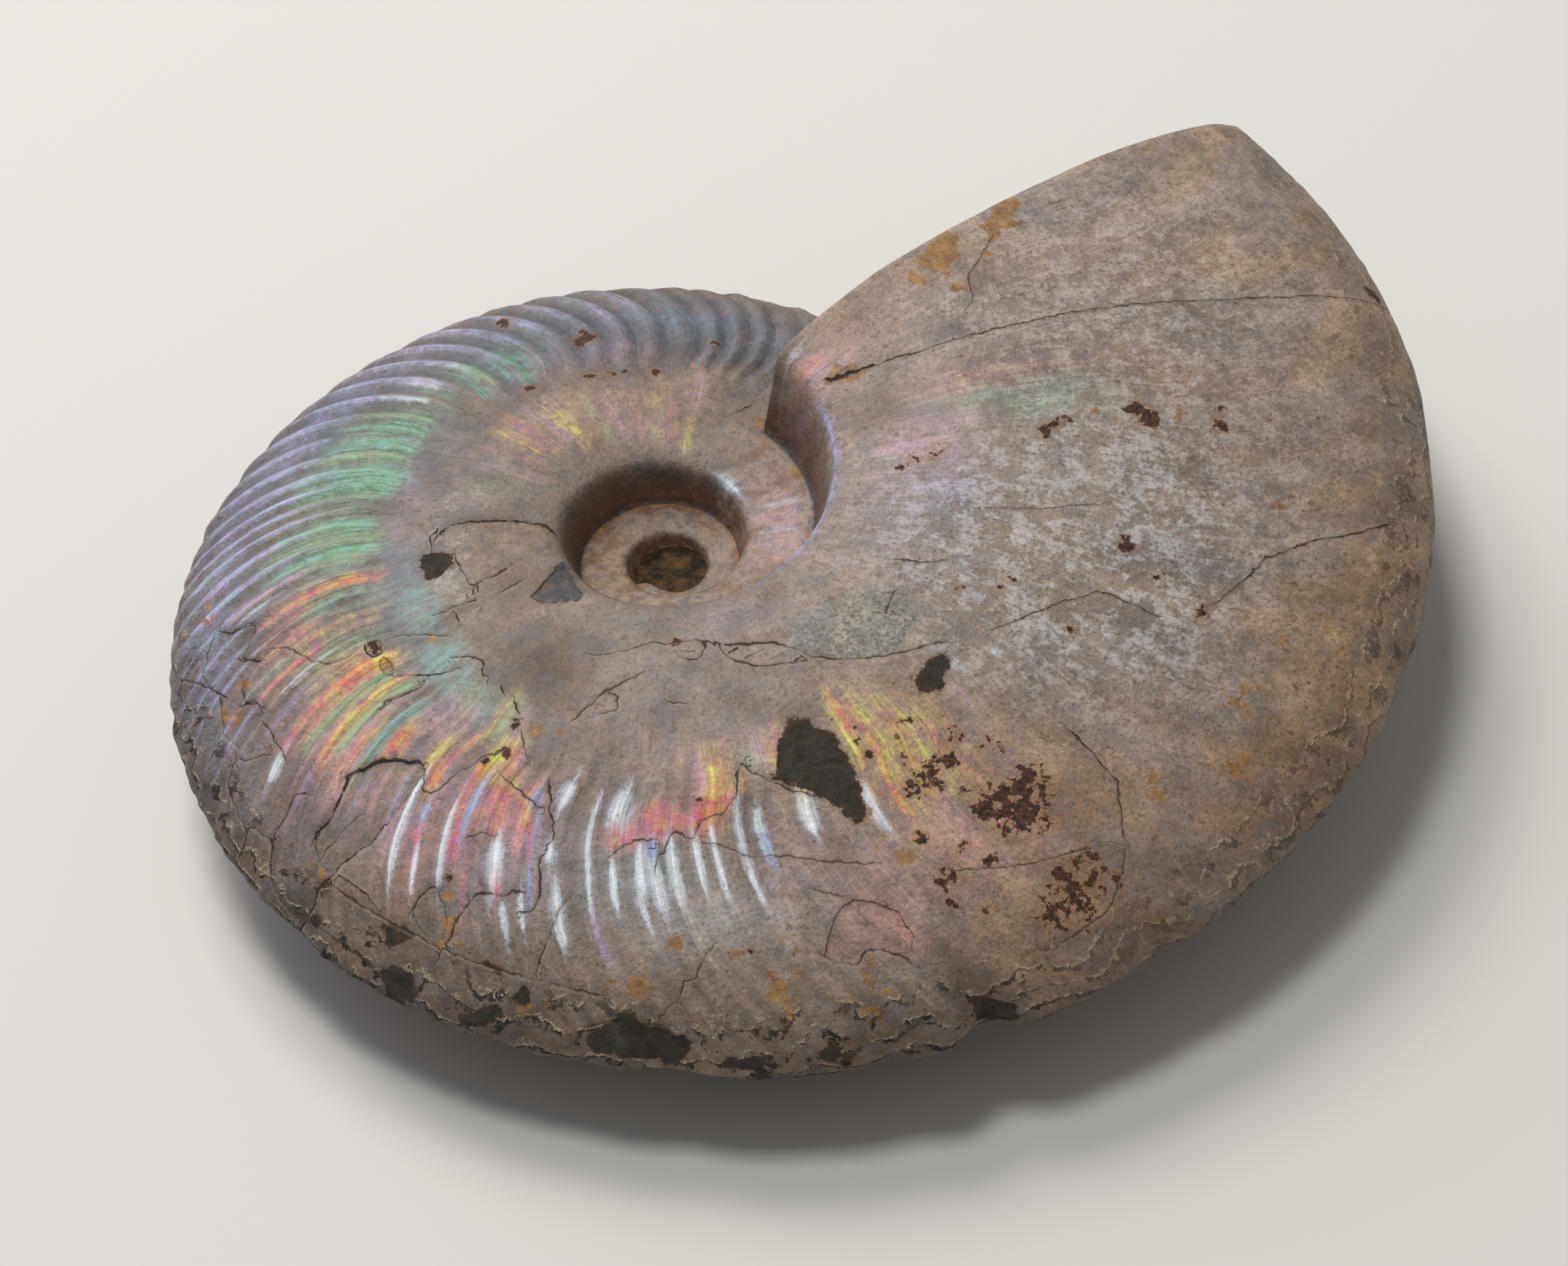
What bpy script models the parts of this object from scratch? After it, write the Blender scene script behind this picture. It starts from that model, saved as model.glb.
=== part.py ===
"""A whole fossil ammonite, lying on one flank. Metres, +Z up, origin under the middle of its box.

The shell is one body. Every line on it follows the same growth law: while it turns about the coil's
axis, it also grows away from the axis. So one half section is drawn once, and then extruded, turned
and enlarged row by row. Each whorl ends in a seam on the flank of the whorl before it.

growth: angle along the coil in radians, 0 at the mouth, falling towards the centre.
share:  distance from the axis as a share of the whorl's outer radius, 1 on the keel.
"""

import math

import bmesh
import bpy
from mathutils import Matrix, Vector

MM = 0.001
TURN = 2 * math.pi

# The coil
MOUTH_RADIUS = 63 * MM
WHORL_RATE = 2.236
MOUTH_HEADING = math.radians(43.2)
PIT_GROWTH = math.radians(-943)

# The section of a whorl, in shares of its outer radius
CREST_SHARE = 0.379
THICKEST_SHARE = 0.36
HALF_THICKNESS = 0.227
KEEL_POWER = 1.5
FLANK_POWER = 1.28
SHOULDER_SHARE = 0.222
SHOULDER_HEIGHT = 0.2136
SEAM_SHARE = 0.186
WALL_SHARE = 0.208
WALL_HEIGHT = 0.176
FLANK_POINTS = 5

# The broken mouth is one flat face, from the keel to the umbilical shoulder
MOUTH_LEAN = math.radians(6.7)
MOUTH_REACH = math.radians(55)

# Ribs: where each set starts, in degrees of growth, and the angle from one rib to the next
RIB_SETS = ((-360, 6.0), (-240, 10 / 3), (-200, 2.5))
RIB_END = -125
SMOOTH_STEP = 6.25
RIB_RELIEF = 0.17 * MM
RIB_ROOT = 0.5
RIB_SWEEP = math.radians(8)

# Chips out of the keel: growth in degrees, half width in degrees, depth
KEEL_CHIPS = (
    (-178, 7, 0.3 * MM),
    (-147, 9, 0.3 * MM),
    (-137, 5, 0.5 * MM),
    (-109, 6, 1.4 * MM),
)
CHIP_SHARE = 0.9

# Matrix that closes the pit at the centre
PIT_REACH = 4.4 * MM
PLUG_LEVEL = 1.78 * MM

# How the shell lies: its own axis leans by this much, towards this heading
REST_LEAN = math.radians(5.40)
REST_LEAN_HEADING = math.radians(-114.3)
REST_TURN = math.radians(2.2)

GROWTH_RATE = math.log(WHORL_RATE) / TURN
LANDING_SHARE = SEAM_SHARE * WHORL_RATE
WELD = 0.008 * MM
ANGLE_SLACK = math.radians(0.1)


def radius_at(growth):
    """Outer radius of the whorl."""
    return MOUTH_RADIUS * math.exp(GROWTH_RATE * growth)


def smooth_step(low, high, value):
    t = min(max((value - low) / (high - low), 0), 1)
    return t * t * (3 - 2 * t)


def flank_point(angle):
    """A point of the outer flank: the keel at 0, the thickest place at a quarter turn."""
    share = CREST_SHARE + (1 - CREST_SHARE) * math.cos(angle) ** KEEL_POWER
    return share, HALF_THICKNESS * math.sin(angle) ** FLANK_POWER


def landing_angle():
    """Angle of the flank point where the next whorl's seam lies."""
    t = (LANDING_SHARE - CREST_SHARE) / (1 - CREST_SHARE)
    return math.acos(t ** (1 / KEEL_POWER))


def outer_section():
    """From the keel to the point where the next whorl's seam lies."""
    last = landing_angle()
    return [flank_point(last * (i / FLANK_POINTS) ** 0.92) for i in range(FLANK_POINTS + 1)]


def inner_section():
    """From there over the shoulder and down the umbilical wall to this whorl's own seam."""
    landing = outer_section()[-1]
    thickest = (THICKEST_SHARE, HALF_THICKNESS)
    shoulder = (SHOULDER_SHARE, SHOULDER_HEIGHT)
    wall = (WALL_SHARE, WALL_HEIGHT)
    seam = (SEAM_SHARE, landing[1] / WHORL_RATE)
    return [landing, thickest, shoulder, wall, seam]


def row_angles():
    """Growth angles of one turn's rows: two to each rib, and wide steps on the smooth last part."""
    degrees = []
    ends = [start for start, _ in RIB_SETS[1:]] + [RIB_END]
    for (start, pitch), end in zip(RIB_SETS, ends):
        count = round(2 * (end - start) / pitch)
        degrees += [start + i * pitch / 2 for i in range(count)]
    count = round(-RIB_END / SMOOTH_STEP)
    degrees += [RIB_END + i * SMOOTH_STEP for i in range(count)]
    return [math.radians(d) for d in degrees]


def section_chain(bm, layers, points, growth, first=None):
    """Vertices and edges of a section at one growth angle."""
    heading = Matrix.Rotation(MOUTH_HEADING + growth, 3, "Z")
    verts = []
    for share, height in points:
        vert = bm.verts.new(heading @ Vector((share, 0, height)) * radius_at(growth))
        vert[layers["growth"]] = growth
        vert[layers["share"]] = share
        verts.append(vert)
    if first:
        verts.append(first)
    return [bm.edges.new(pair) for pair in zip(verts, verts[1:])]


def grow_row(bm, layers, edges, step):
    """One row further along the coil: extruded, turned and enlarged."""
    made = bmesh.ops.extrude_edge_only(bm, edges=edges)["geom"]
    verts = [g for g in made if isinstance(g, bmesh.types.BMVert)]
    factor = math.exp(GROWTH_RATE * step)
    bmesh.ops.rotate(bm, verts=verts, cent=(0, 0, 0), matrix=Matrix.Rotation(step, 3, "Z"))
    bmesh.ops.scale(bm, verts=verts, vec=(factor, factor, factor))
    for vert in verts:
        vert[layers["growth"]] += step
    return [g for g in made if isinstance(g, bmesh.types.BMEdge)]


def grow_coil(bm, layers):
    """The upper half of the shell: inner turns as a band only, the last turn with its whole flank."""
    turn = row_angles()
    inner = [a - k * TURN for k in (2, 1) for a in turn]
    inner = [a for a in inner if a >= PIT_GROWTH] + [turn[0]]
    edges = section_chain(bm, layers, inner_section(), inner[0])
    for before, after in zip(inner, inner[1:]):
        edges = grow_row(bm, layers, edges, after - before)
    ends = {vert for edge in edges for vert in edge.verts}
    landing = max(ends, key=lambda vert: vert[layers["share"]])
    edges += section_chain(bm, layers, outer_section()[:-1], turn[0], first=landing)
    for before, after in zip(turn, turn[1:] + [0.0]):
        edges = grow_row(bm, layers, edges, after - before)


def rib_side(turn, growth):
    """+1 on a rib, -1 between two, 0 on the smooth part."""
    nearest = min(range(len(turn)), key=lambda i: abs(turn[i] - growth))
    if turn[nearest] > math.radians(RIB_END) - ANGLE_SLACK or growth > -ANGLE_SLACK:
        return 0
    return 1 if nearest % 2 else -1


def sweep_fade(growth):
    """The sweep fades out towards both ends of the last turn, where the break is."""
    degrees = math.degrees(growth)
    return smooth_step(-360, -330, degrees) * (1 - smooth_step(RIB_END, -60, degrees))


def flank_normal(share):
    """Outward direction of the section in (radial, upward), on the outer flank."""
    t = max((share - CREST_SHARE) / (1 - CREST_SHARE), 0.001)
    angle = math.acos(min(t ** (1 / KEEL_POWER), 1))
    near = flank_point(max(angle - 0.01, 0))
    far = flank_point(min(angle + 0.01, math.pi / 2))
    return Vector((far[1] - near[1], near[0] - far[0])).normalized()


def chip_depth(growth, share):
    if share < CHIP_SHARE:
        return 0
    depth = 0
    for place, half_width, most in KEEL_CHIPS:
        off = abs(math.degrees(growth) - place) / half_width
        depth = max(depth, most * (1 - smooth_step(0, 1, off)))
    return depth * smooth_step(CHIP_SHARE - 0.05, 1, share)


def shape_surface(bm, layers):
    """Ribs raised on the outer flank and swept forward, and the chips out of the keel."""
    turn = row_angles()
    for vert in bm.verts:
        growth = vert[layers["growth"]]
        share = vert[layers["share"]]
        if share < RIB_ROOT:
            continue
        heading = MOUTH_HEADING + growth
        side, up = flank_normal(share)
        fade = smooth_step(RIB_ROOT, 0.75, share) * (1 - 0.5 * smooth_step(0.9, 1, share))
        relief = rib_side(turn, growth) * RIB_RELIEF * fade
        depth = relief - chip_depth(growth, share)
        vert.co += depth * Vector((side * math.cos(heading), side * math.sin(heading), up))
        if share == 1.0:
            vert.co.z = 0
        sweep = RIB_SWEEP * sweep_fade(growth) * ((share - RIB_ROOT) / (1 - RIB_ROOT)) ** 2
        vert.co = Matrix.Rotation(sweep, 3, "Z") @ vert.co * math.exp(GROWTH_RATE * sweep)


def mouth_plane():
    """The flat break: a point of it and its direction, level with the ground."""
    keel = Vector((math.cos(MOUTH_HEADING), math.sin(MOUTH_HEADING))) * MOUTH_RADIUS
    shoulder_radius = SHOULDER_SHARE * radius_at(MOUTH_LEAN)
    heading = MOUTH_HEADING + MOUTH_LEAN
    shoulder = Vector((math.cos(heading), math.sin(heading))) * shoulder_radius
    return keel, (keel - shoulder).orthogonal().normalized()


def slide_to_break(radius):
    """How far a point at this radius on the mouth's heading slides along the coil to meet the break."""
    point, normal = mouth_plane()
    low, high = math.radians(-40), math.radians(40)

    def side(angle):
        heading = MOUTH_HEADING + angle
        reach = radius * math.exp(GROWTH_RATE * angle)
        return normal.dot(Vector((math.cos(heading), math.sin(heading))) * reach - point)

    falling = side(low) > side(high)
    for _ in range(40):
        middle = (low + high) / 2
        if (side(middle) > 0) == falling:
            low = middle
        else:
            high = middle
    return (low + high) / 2


def flatten_break(bm):
    """Slides the surface near the mouth's heading along the coil, until the mouth lies in one plane."""
    for vert in bm.verts:
        radius = vert.co.xy.length
        if radius < PIT_REACH:
            continue
        off = math.atan2(vert.co.y, vert.co.x) - MOUTH_HEADING
        off = (off + math.pi) % TURN - math.pi
        reach = 1 - smooth_step(0, MOUTH_REACH, abs(off))
        slide = reach * slide_to_break(radius * math.exp(-GROWTH_RATE * off))
        vert.co = Matrix.Rotation(slide, 3, "Z") @ vert.co * math.exp(GROWTH_RATE * slide)


def fill_pit(bm):
    """Matrix fills the middle of the pit: all below one level goes, and a flat face closes it."""
    middle = [face for face in bm.faces if max(v.co.xy.length for v in face.verts) < PIT_REACH]
    parts = set(middle)
    for face in middle:
        parts.update(face.edges, face.verts)
    cut = bmesh.ops.bisect_plane(
        bm,
        geom=list(parts),
        dist=WELD / 10,
        plane_co=(0, 0, PLUG_LEVEL),
        plane_no=(0, 0, 1),
        clear_inner=True,
    )["geom_cut"]
    rim = [edge for edge in cut if isinstance(edge, bmesh.types.BMEdge)]
    bmesh.ops.contextual_create(bm, geom=rim)


def close_mouth(bm):
    open_edges = [edge for edge in bm.edges if len(edge.link_faces) == 1]
    bmesh.ops.holes_fill(bm, edges=open_edges, sides=0)


def lay_down(bm):
    """Turns the shell into its resting pose and sets its lowest point on the ground."""
    axis = Vector((-math.sin(REST_LEAN_HEADING), math.cos(REST_LEAN_HEADING), 0))
    lean = Matrix.Rotation(REST_LEAN, 3, axis)
    bmesh.ops.rotate(bm, verts=bm.verts, cent=(0, 0, 0), matrix=Matrix.Rotation(REST_TURN, 3, "Z") @ lean)
    low = Vector([min(vert.co[i] for vert in bm.verts) for i in range(3)])
    high = Vector([max(vert.co[i] for vert in bm.verts) for i in range(3)])
    middle = (low + high) / 2
    bmesh.ops.translate(bm, verts=bm.verts, vec=(-middle.x, -middle.y, -low.z))


def shell_material():
    """Aged shell turned to stone: warm grey beige, dull, with a trace of its gloss."""
    material = bpy.data.materials.new("fossil shell")
    material.use_nodes = True
    shader = material.node_tree.nodes["Principled BSDF"]
    shader.inputs["Base Color"].default_value = (0.42, 0.33, 0.26, 1)
    shader.inputs["Roughness"].default_value = 0.45
    shader.inputs["Metallic"].default_value = 0.0
    return material


def build_ammonite():
    mesh = bpy.data.meshes.new("ammonite")
    bm = bmesh.new()
    layers = {name: bm.verts.layers.float.new(name) for name in ("growth", "share")}
    grow_coil(bm, layers)
    shape_surface(bm, layers)
    bmesh.ops.remove_doubles(bm, verts=bm.verts, dist=WELD)
    flatten_break(bm)
    fill_pit(bm)
    everything = bm.verts[:] + bm.edges[:] + bm.faces[:]
    bmesh.ops.mirror(bm, geom=everything, matrix=Matrix.Identity(4), merge_dist=WELD, axis="Z")
    close_mouth(bm)
    bmesh.ops.triangulate(bm, faces=bm.faces)
    bmesh.ops.recalc_face_normals(bm, faces=bm.faces)
    lay_down(bm)
    bm.to_mesh(mesh)
    bm.free()
    mesh.shade_smooth()
    mesh.set_sharp_from_angle(angle=math.radians(35))
    mesh.materials.append(shell_material())
    body = bpy.data.objects.new("ammonite", mesh)
    bpy.context.scene.collection.objects.link(body)
    print(f"ammonite: {len(mesh.polygons)} triangles, {body.dimensions.x / MM:.1f} x "
          f"{body.dimensions.y / MM:.1f} x {body.dimensions.z / MM:.1f} mm")


for old in list(bpy.data.objects):
    bpy.data.objects.remove(old)
build_ammonite()
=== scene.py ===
# %% [markdown]
# # A fossil ammonite, worn down to its nacre
# The object is one natural body: a coiled shell turned to stone, 105 mm through its widest line. It
# lies on one flank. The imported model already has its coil, its section and its pose. This lesson
# grows the same coil again with many more rows, adds what age has done to the surface, and paints
# the nacre.

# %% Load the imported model
import math

import bmesh
import bpy
import numpy as np
from mathutils import Matrix, Vector, noise


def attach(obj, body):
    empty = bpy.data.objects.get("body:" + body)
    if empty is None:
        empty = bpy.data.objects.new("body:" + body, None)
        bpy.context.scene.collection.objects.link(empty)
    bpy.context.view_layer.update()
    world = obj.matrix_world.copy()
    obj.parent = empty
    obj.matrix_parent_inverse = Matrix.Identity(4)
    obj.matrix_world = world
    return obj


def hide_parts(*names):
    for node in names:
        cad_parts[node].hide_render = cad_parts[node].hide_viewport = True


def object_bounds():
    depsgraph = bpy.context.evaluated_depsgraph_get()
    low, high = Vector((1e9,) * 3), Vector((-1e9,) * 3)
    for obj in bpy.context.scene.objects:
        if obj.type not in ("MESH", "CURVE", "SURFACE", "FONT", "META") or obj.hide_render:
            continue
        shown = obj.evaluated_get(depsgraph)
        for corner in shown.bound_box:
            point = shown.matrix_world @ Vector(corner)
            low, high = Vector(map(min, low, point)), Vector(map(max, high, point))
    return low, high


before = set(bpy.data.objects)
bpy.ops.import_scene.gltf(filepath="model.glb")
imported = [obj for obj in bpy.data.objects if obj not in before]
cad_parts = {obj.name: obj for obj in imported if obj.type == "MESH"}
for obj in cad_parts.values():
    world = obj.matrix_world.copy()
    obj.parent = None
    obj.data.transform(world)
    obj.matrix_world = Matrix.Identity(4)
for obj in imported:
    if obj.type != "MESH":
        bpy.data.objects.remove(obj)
CAD_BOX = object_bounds()
MM = 0.001
print("box of the packed model, mm:", [[round(c / MM, 2) for c in corner] for corner in CAD_BOX])

# %% [markdown]
# ## The growth law
# Every line on the shell grows by the same law: while it turns about the axis of the coil, it also
# moves away from the axis, 2.236 times for one whole turn. A place on the shell then needs only two
# numbers. `growth` is the angle along the coil in degrees, 0 at the mouth and falling towards the
# centre. `share` is the distance from the axis as a share of the whorl's radius, 1 on the keel.
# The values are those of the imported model, so that both have one shape. Lengths are in mm. The shell
# rests on its thicker last whorl, so the axis of the coil leans a little, and COIL_PLACE is where
# the middle of the coil then lies.

# %% The coil and where it lies
MOUTH_RADIUS = 63.0
WHORL_RATE = 2.236
MOUTH_HEADING = 43.2
LAST_TURN = -360.0
PIT_GROWTH = -942.75
RATE = math.log(WHORL_RATE) / 360
COIL_PLACE = Vector((-9.456, 1.030, 12.314))
REST_LEAN = math.radians(5.40)
REST_LEAN_HEADING = math.radians(-114.3)
REST_TURN = math.radians(2.2)


def radius_at(growth):
    """Outer radius of the whorl in mm."""
    return MOUTH_RADIUS * np.exp(RATE * growth)


print("radius at the mouth, half a turn and a turn back, mm:",
      [round(float(radius_at(growth)), 1) for growth in (0, -180, LAST_TURN)])

# %% [markdown]
# ## The section of a whorl
# Cut across, the whorl is a tall lens: a narrow keel outside, two low flanks, a rounded shoulder and
# a steep wall down into the umbilicus, which is the hollow in the middle. The section is described
# once, as a curve, and then sampled at even steps along its length. It ends at the seam, where it
# stands on the whorl before, and that is the landing of the whorl below.

# %% The curve of the section
CREST_SHARE = 0.379
HALF_THICKNESS = 0.227
SEAM_SHARE = 0.186
LANDING_SHARE = SEAM_SHARE * WHORL_RATE
KEEL_POWER, FLANK_POWER = 1.5, 1.28
SHOULDER = [(0.395, 0.2268), (0.379, 0.227), (0.33, 0.2255), (0.27, 0.2205), (0.241, 0.2160),
            (0.2215, 0.2105), (0.2125, 0.196), (0.209, 0.176), (0.202, 0.150)]


def flank_curve(count=900):
    """From the keel to the thickest place, with the finest steps at the keel."""
    a = np.linspace(0, 1, count) ** 1.4 * math.pi / 2
    share = CREST_SHARE + (1 - CREST_SHARE) * np.cos(a) ** KEEL_POWER
    return np.stack([share, HALF_THICKNESS * np.sin(a) ** FLANK_POWER], axis=1)


def rounded(points, rounds):
    """A polyline with its corners cut again and again, until it is a smooth curve."""
    points = np.array(points, float)
    for _ in range(rounds):
        near = points[:-1] * 0.75 + points[1:] * 0.25
        far = points[:-1] * 0.25 + points[1:] * 0.75
        new = np.stack([near, far], axis=1).reshape(-1, 2)
        points = np.concatenate([points[:1], new, points[-1:]])
    return points


def lengths_along(points):
    """How far along the curve each of its points is."""
    return np.concatenate([[0], np.cumsum(np.linalg.norm(np.diff(points, axis=0), axis=1))])


def even_steps(points, count):
    """The curve through these points again, as count + 1 points at even distances."""
    along = lengths_along(points)
    wanted = np.linspace(0, along[-1], count + 1)
    return np.stack([np.interp(wanted, along, points[:, i]) for i in (0, 1)], axis=1)


FLANK = flank_curve()
LANDING = np.array([LANDING_SHARE, np.interp(LANDING_SHARE, FLANK[::-1, 0], FLANK[::-1, 1])])
SEAM = LANDING / WHORL_RATE
outer_part = np.concatenate([FLANK[FLANK[:, 0] > LANDING_SHARE], [LANDING]])
inner_part = rounded([LANDING] + SHOULDER + [SEAM], 4)
print("half section: landing", LANDING.round(4), "seam", SEAM.round(4))

# %% [markdown]
# ## Growing the coil
# The section could be lofted through copies of itself, or extruded, turned and enlarged row by row.
# Both are slow with this many rows. Here a flat grid is rolled up instead: one side of the grid runs
# along the coil and the other along the section, and the growth law says where each point goes. The
# rows lie closest where the ribs are finest. The inner turns show only as a narrow band in the
# umbilicus, so they get wide rows, and their outer edge is cut to match the turn that sits on them.
# One merge then closes every seam.

# %% Rows and lines of the mesh
FINE_FROM, FINE_TO = -247.5, -112.5
ROW_STEP = 2.25
TOP_FLANK, TOP_INNER, LOW_INNER, LOW_FLANK = 80, 20, 8, 26


def rows_of_a_turn():
    """The growth of every row in the last turn."""
    rows = []
    for start in np.arange(LAST_TURN, 0, ROW_STEP):
        parts = 5 if FINE_FROM <= start < FINE_TO else 3
        rows += [start + ROW_STEP * i / parts for i in range(parts)]
    return rows + [0.0]


top_inner = even_steps(inner_part, TOP_INNER)
low_inner = even_steps(inner_part, LOW_INNER) * (1, -1)
top_flank = even_steps(outer_part, TOP_FLANK)
low_flank = even_steps(outer_part, LOW_FLANK) * (1, -1)
whole_section = np.concatenate([top_inner[::-1][:-1], top_flank[::-1], low_flank[1:], low_inner[1:]])
inner_rows = np.arange(PIT_GROWTH, LAST_TURN + 0.1, ROW_STEP)
print("rows in the last turn:", len(rows_of_a_turn()), "points in the section:", len(whole_section))


# %% Roll up a grid
def roll_up(bm, layers, rows, section):
    """A flat grid, with each of its points carried to its place on the coil."""
    last_row, last_point = len(rows) - 1, len(section) - 1
    made = bmesh.ops.create_grid(bm, x_segments=last_row, y_segments=last_point, size=1)["verts"]
    for vert in made:
        growth = rows[round((vert.co.x + 1) / 2 * last_row)]
        share, height = section[round((vert.co.y + 1) / 2 * last_point)]
        vert[layers["growth"]] = growth
        vert[layers["share"]] = share
        vert[layers["height"]] = height
        angle = math.radians(MOUTH_HEADING + growth)
        flat = Vector((share * math.cos(angle), share * math.sin(angle), height))
        vert.co = flat * MOUTH_RADIUS * math.exp(RATE * growth) * MM


bm = bmesh.new()
layers = {name: bm.verts.layers.float.new(name) for name in ("growth", "share", "height")}
for rows, section in ((rows_of_a_turn(), whole_section), (inner_rows, top_inner), (inner_rows, low_inner)):
    roll_up(bm, layers, rows, section)
print("rolled up:", len(bm.verts), "vertices,", len(bm.faces), "faces")

# %% Close the seams
WELD = 0.02 * MM
STRETCHES = ((-720, FINE_FROM - 360, 2), (FINE_FROM - 360, FINE_TO - 360, 4), (FINE_TO - 360, -360, 2))


def match_landing(bm, layers):
    """Cuts the outer edge of the last inner turn as finely as the turn that sits on it."""
    for first, last, cuts in STRETCHES:
        edges = []
        for edge in bm.edges:
            start, end = sorted(vert[layers["growth"]] for vert in edge.verts)
            if end - start < 2 or start < first - 0.1 or end > last + 0.1:
                continue
            if all(abs(vert[layers["share"]] - LANDING_SHARE) < 1e-4 for vert in edge.verts):
                edges.append(edge)
        bmesh.ops.subdivide_edges(bm, edges=edges, cuts=cuts)


match_landing(bm, layers)
bmesh.ops.remove_doubles(bm, verts=bm.verts, dist=WELD)
print("open edges left, at the mouth and in the pit:", sum(len(edge.link_faces) == 1 for edge in bm.edges))

# %% [markdown]
# ## The lean of the ribs
# The ribs don't run straight out from the middle. They stand upright on the inner half of the flank
# and then lean forward towards the keel, more and more. `lean` gives that angle, and taking it off
# the growth gives a number that stays the same all along one rib: its `rib line`. Ribs, growth lines
# and the streaks of the nacre are all laid out on it. The ribs are listed in a table, as all marks
# of this shell are below. A table is read from plain text, with a semicolon between two rows.

# %% Rib lines
UPRIGHT_SHARE = 0.65


def table(text):
    """The rows of a table. An item is a number, or else a word or a colour."""
    rows = [row.split() for row in text.split(";")]
    return [[item if item.strip("-.0123456789") else float(item) for item in row] for row in rows]


def lean(share):
    """How far a rib has leaned forward at this share, in degrees."""
    out = np.maximum(share - UPRIGHT_SHARE, 0)
    inward = np.clip((UPRIGHT_SHARE - share) / 0.07, 0, 1)
    return 87.5 * out ** 2 + 1.5 * inward ** 1.5


def blend(low, high, value):
    """0 below low, 1 above high, and smooth between them."""
    t = np.clip((value - low) / (high - low), 0, 1)
    return t * t * (3 - 2 * t)


CRESTS = table("""
    -351 -345 -340 -335 -330 -325 -319 -312 -306 -300 -294 -288 -282 -276.5 -271 -265.5 -260 -254.5 -249.5
    -245 -241 -238 -235 -231.2 -227 -223 -219.3 -216 -213.3 -211 -208.4 -206 -203.5 -201 -197 -194.2
    -190.7 -188.6 -186.4 -184.2 -181.9 -179.2 -176.4 -174.1 -170.9 -167.1 -164.6 -162.2 -159.6 -156.9
    -154.4 -151.6 -147.4 -144.2 -140.8 -138.4 -136.1 -133 -130.7 -127.2 -124.3 -121.2 -117.8 -113.8 -109.8
    -104.6 -98.6 -91 -83 -74 -65 -56 -47 -38 -29 -20 -11 -2 7 16 25
""")[0]
print("a rib leans at share 0.75, 0.85 and 0.95 by:", lean(np.array([0.75, 0.85, 0.95])).round(1))

# %% [markdown]
# ## A flat chart of the shell
# Cracks, patches and worn edges are drawn on a chart of the shell, as a conservator would record
# them: growth one way and share the other. On a chart with a logarithmic scale a small distance
# times the local radius is the real distance in mm, everywhere on the coil. With it, every vertex
# learns how far it is from each drawn line.

# %% Distances on the chart
FAR = 99.0
flank_lengths = lengths_along(FLANK[::-1])


def chart(growth, share):
    """Place on the chart. The share is first measured along the curved flank."""
    along = CREST_SHARE + np.interp(share, FLANK[::-1, 0], flank_lengths)
    along = np.where(share < CREST_SHARE, share, along)
    return np.stack([np.radians(growth), RATE * growth + np.log(along)], axis=-1)


def line_distance(places, radius, line, closed=False, reach=4.0):
    """Signed distance in mm to a drawn line, positive on its left, or outside where it is closed."""
    corners = chart(*np.array(line, float).T)
    if closed:
        corners = np.concatenate([corners, corners[:1]])
    found = np.full(len(places), FAR)
    margin = (reach / radius)[:, None]
    near = np.all((places > corners.min(0) - margin) & (places < corners.max(0) + margin), axis=1)
    if not near.any():
        return found
    p = places[near]
    best = np.full(len(p), np.inf)
    side = np.ones(len(p))
    inside = np.zeros(len(p), bool)
    for a, b in zip(corners, corners[1:]):
        along = b - a
        t = np.clip(((p - a) @ along) / max(along @ along, 1e-12), 0, 1)
        distance = np.hypot(*(p - (a + t[:, None] * along)).T)
        closer = distance < best
        best = np.where(closer, distance, best)
        cross = along[0] * (p[:, 1] - a[1]) - along[1] * (p[:, 0] - a[0])
        side = np.where(closer, np.where(cross >= 0, 1, -1), side)
        spans = (a[1] > p[:, 1]) != (b[1] > p[:, 1])
        with np.errstate(divide="ignore", invalid="ignore"):
            inside ^= spans & (p[:, 0] < (b[0] - a[0]) * (p[:, 1] - a[1]) / (b[1] - a[1]) + a[0])
    found[near] = best * radius[near] * (np.where(inside, -1, 1) if closed else side)
    return found


probe = chart(np.array([-100.0]), np.array([0.6]))
off = line_distance(probe, radius_at(np.array([-100.0])) * 0.6, [(-99, 0.5), (-99, 0.7)])
print("a line 1 degree away at share 0.6, mm:", off.round(2))

# %% [markdown]
# ## What age has drawn on the shell
# The outer layer of the shell is thin and brittle. It has cracked, and in places whole flakes have
# come off and show a darker layer below. A crack has its half width in mm in front, and a flake the
# depth of its step. The places along the crack or round the flake follow, growth before share.

# %% Cracks
def outline(items):
    """Growth and share by turns, as a list of places."""
    return list(zip(items[::2], items[1::2]))


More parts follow.
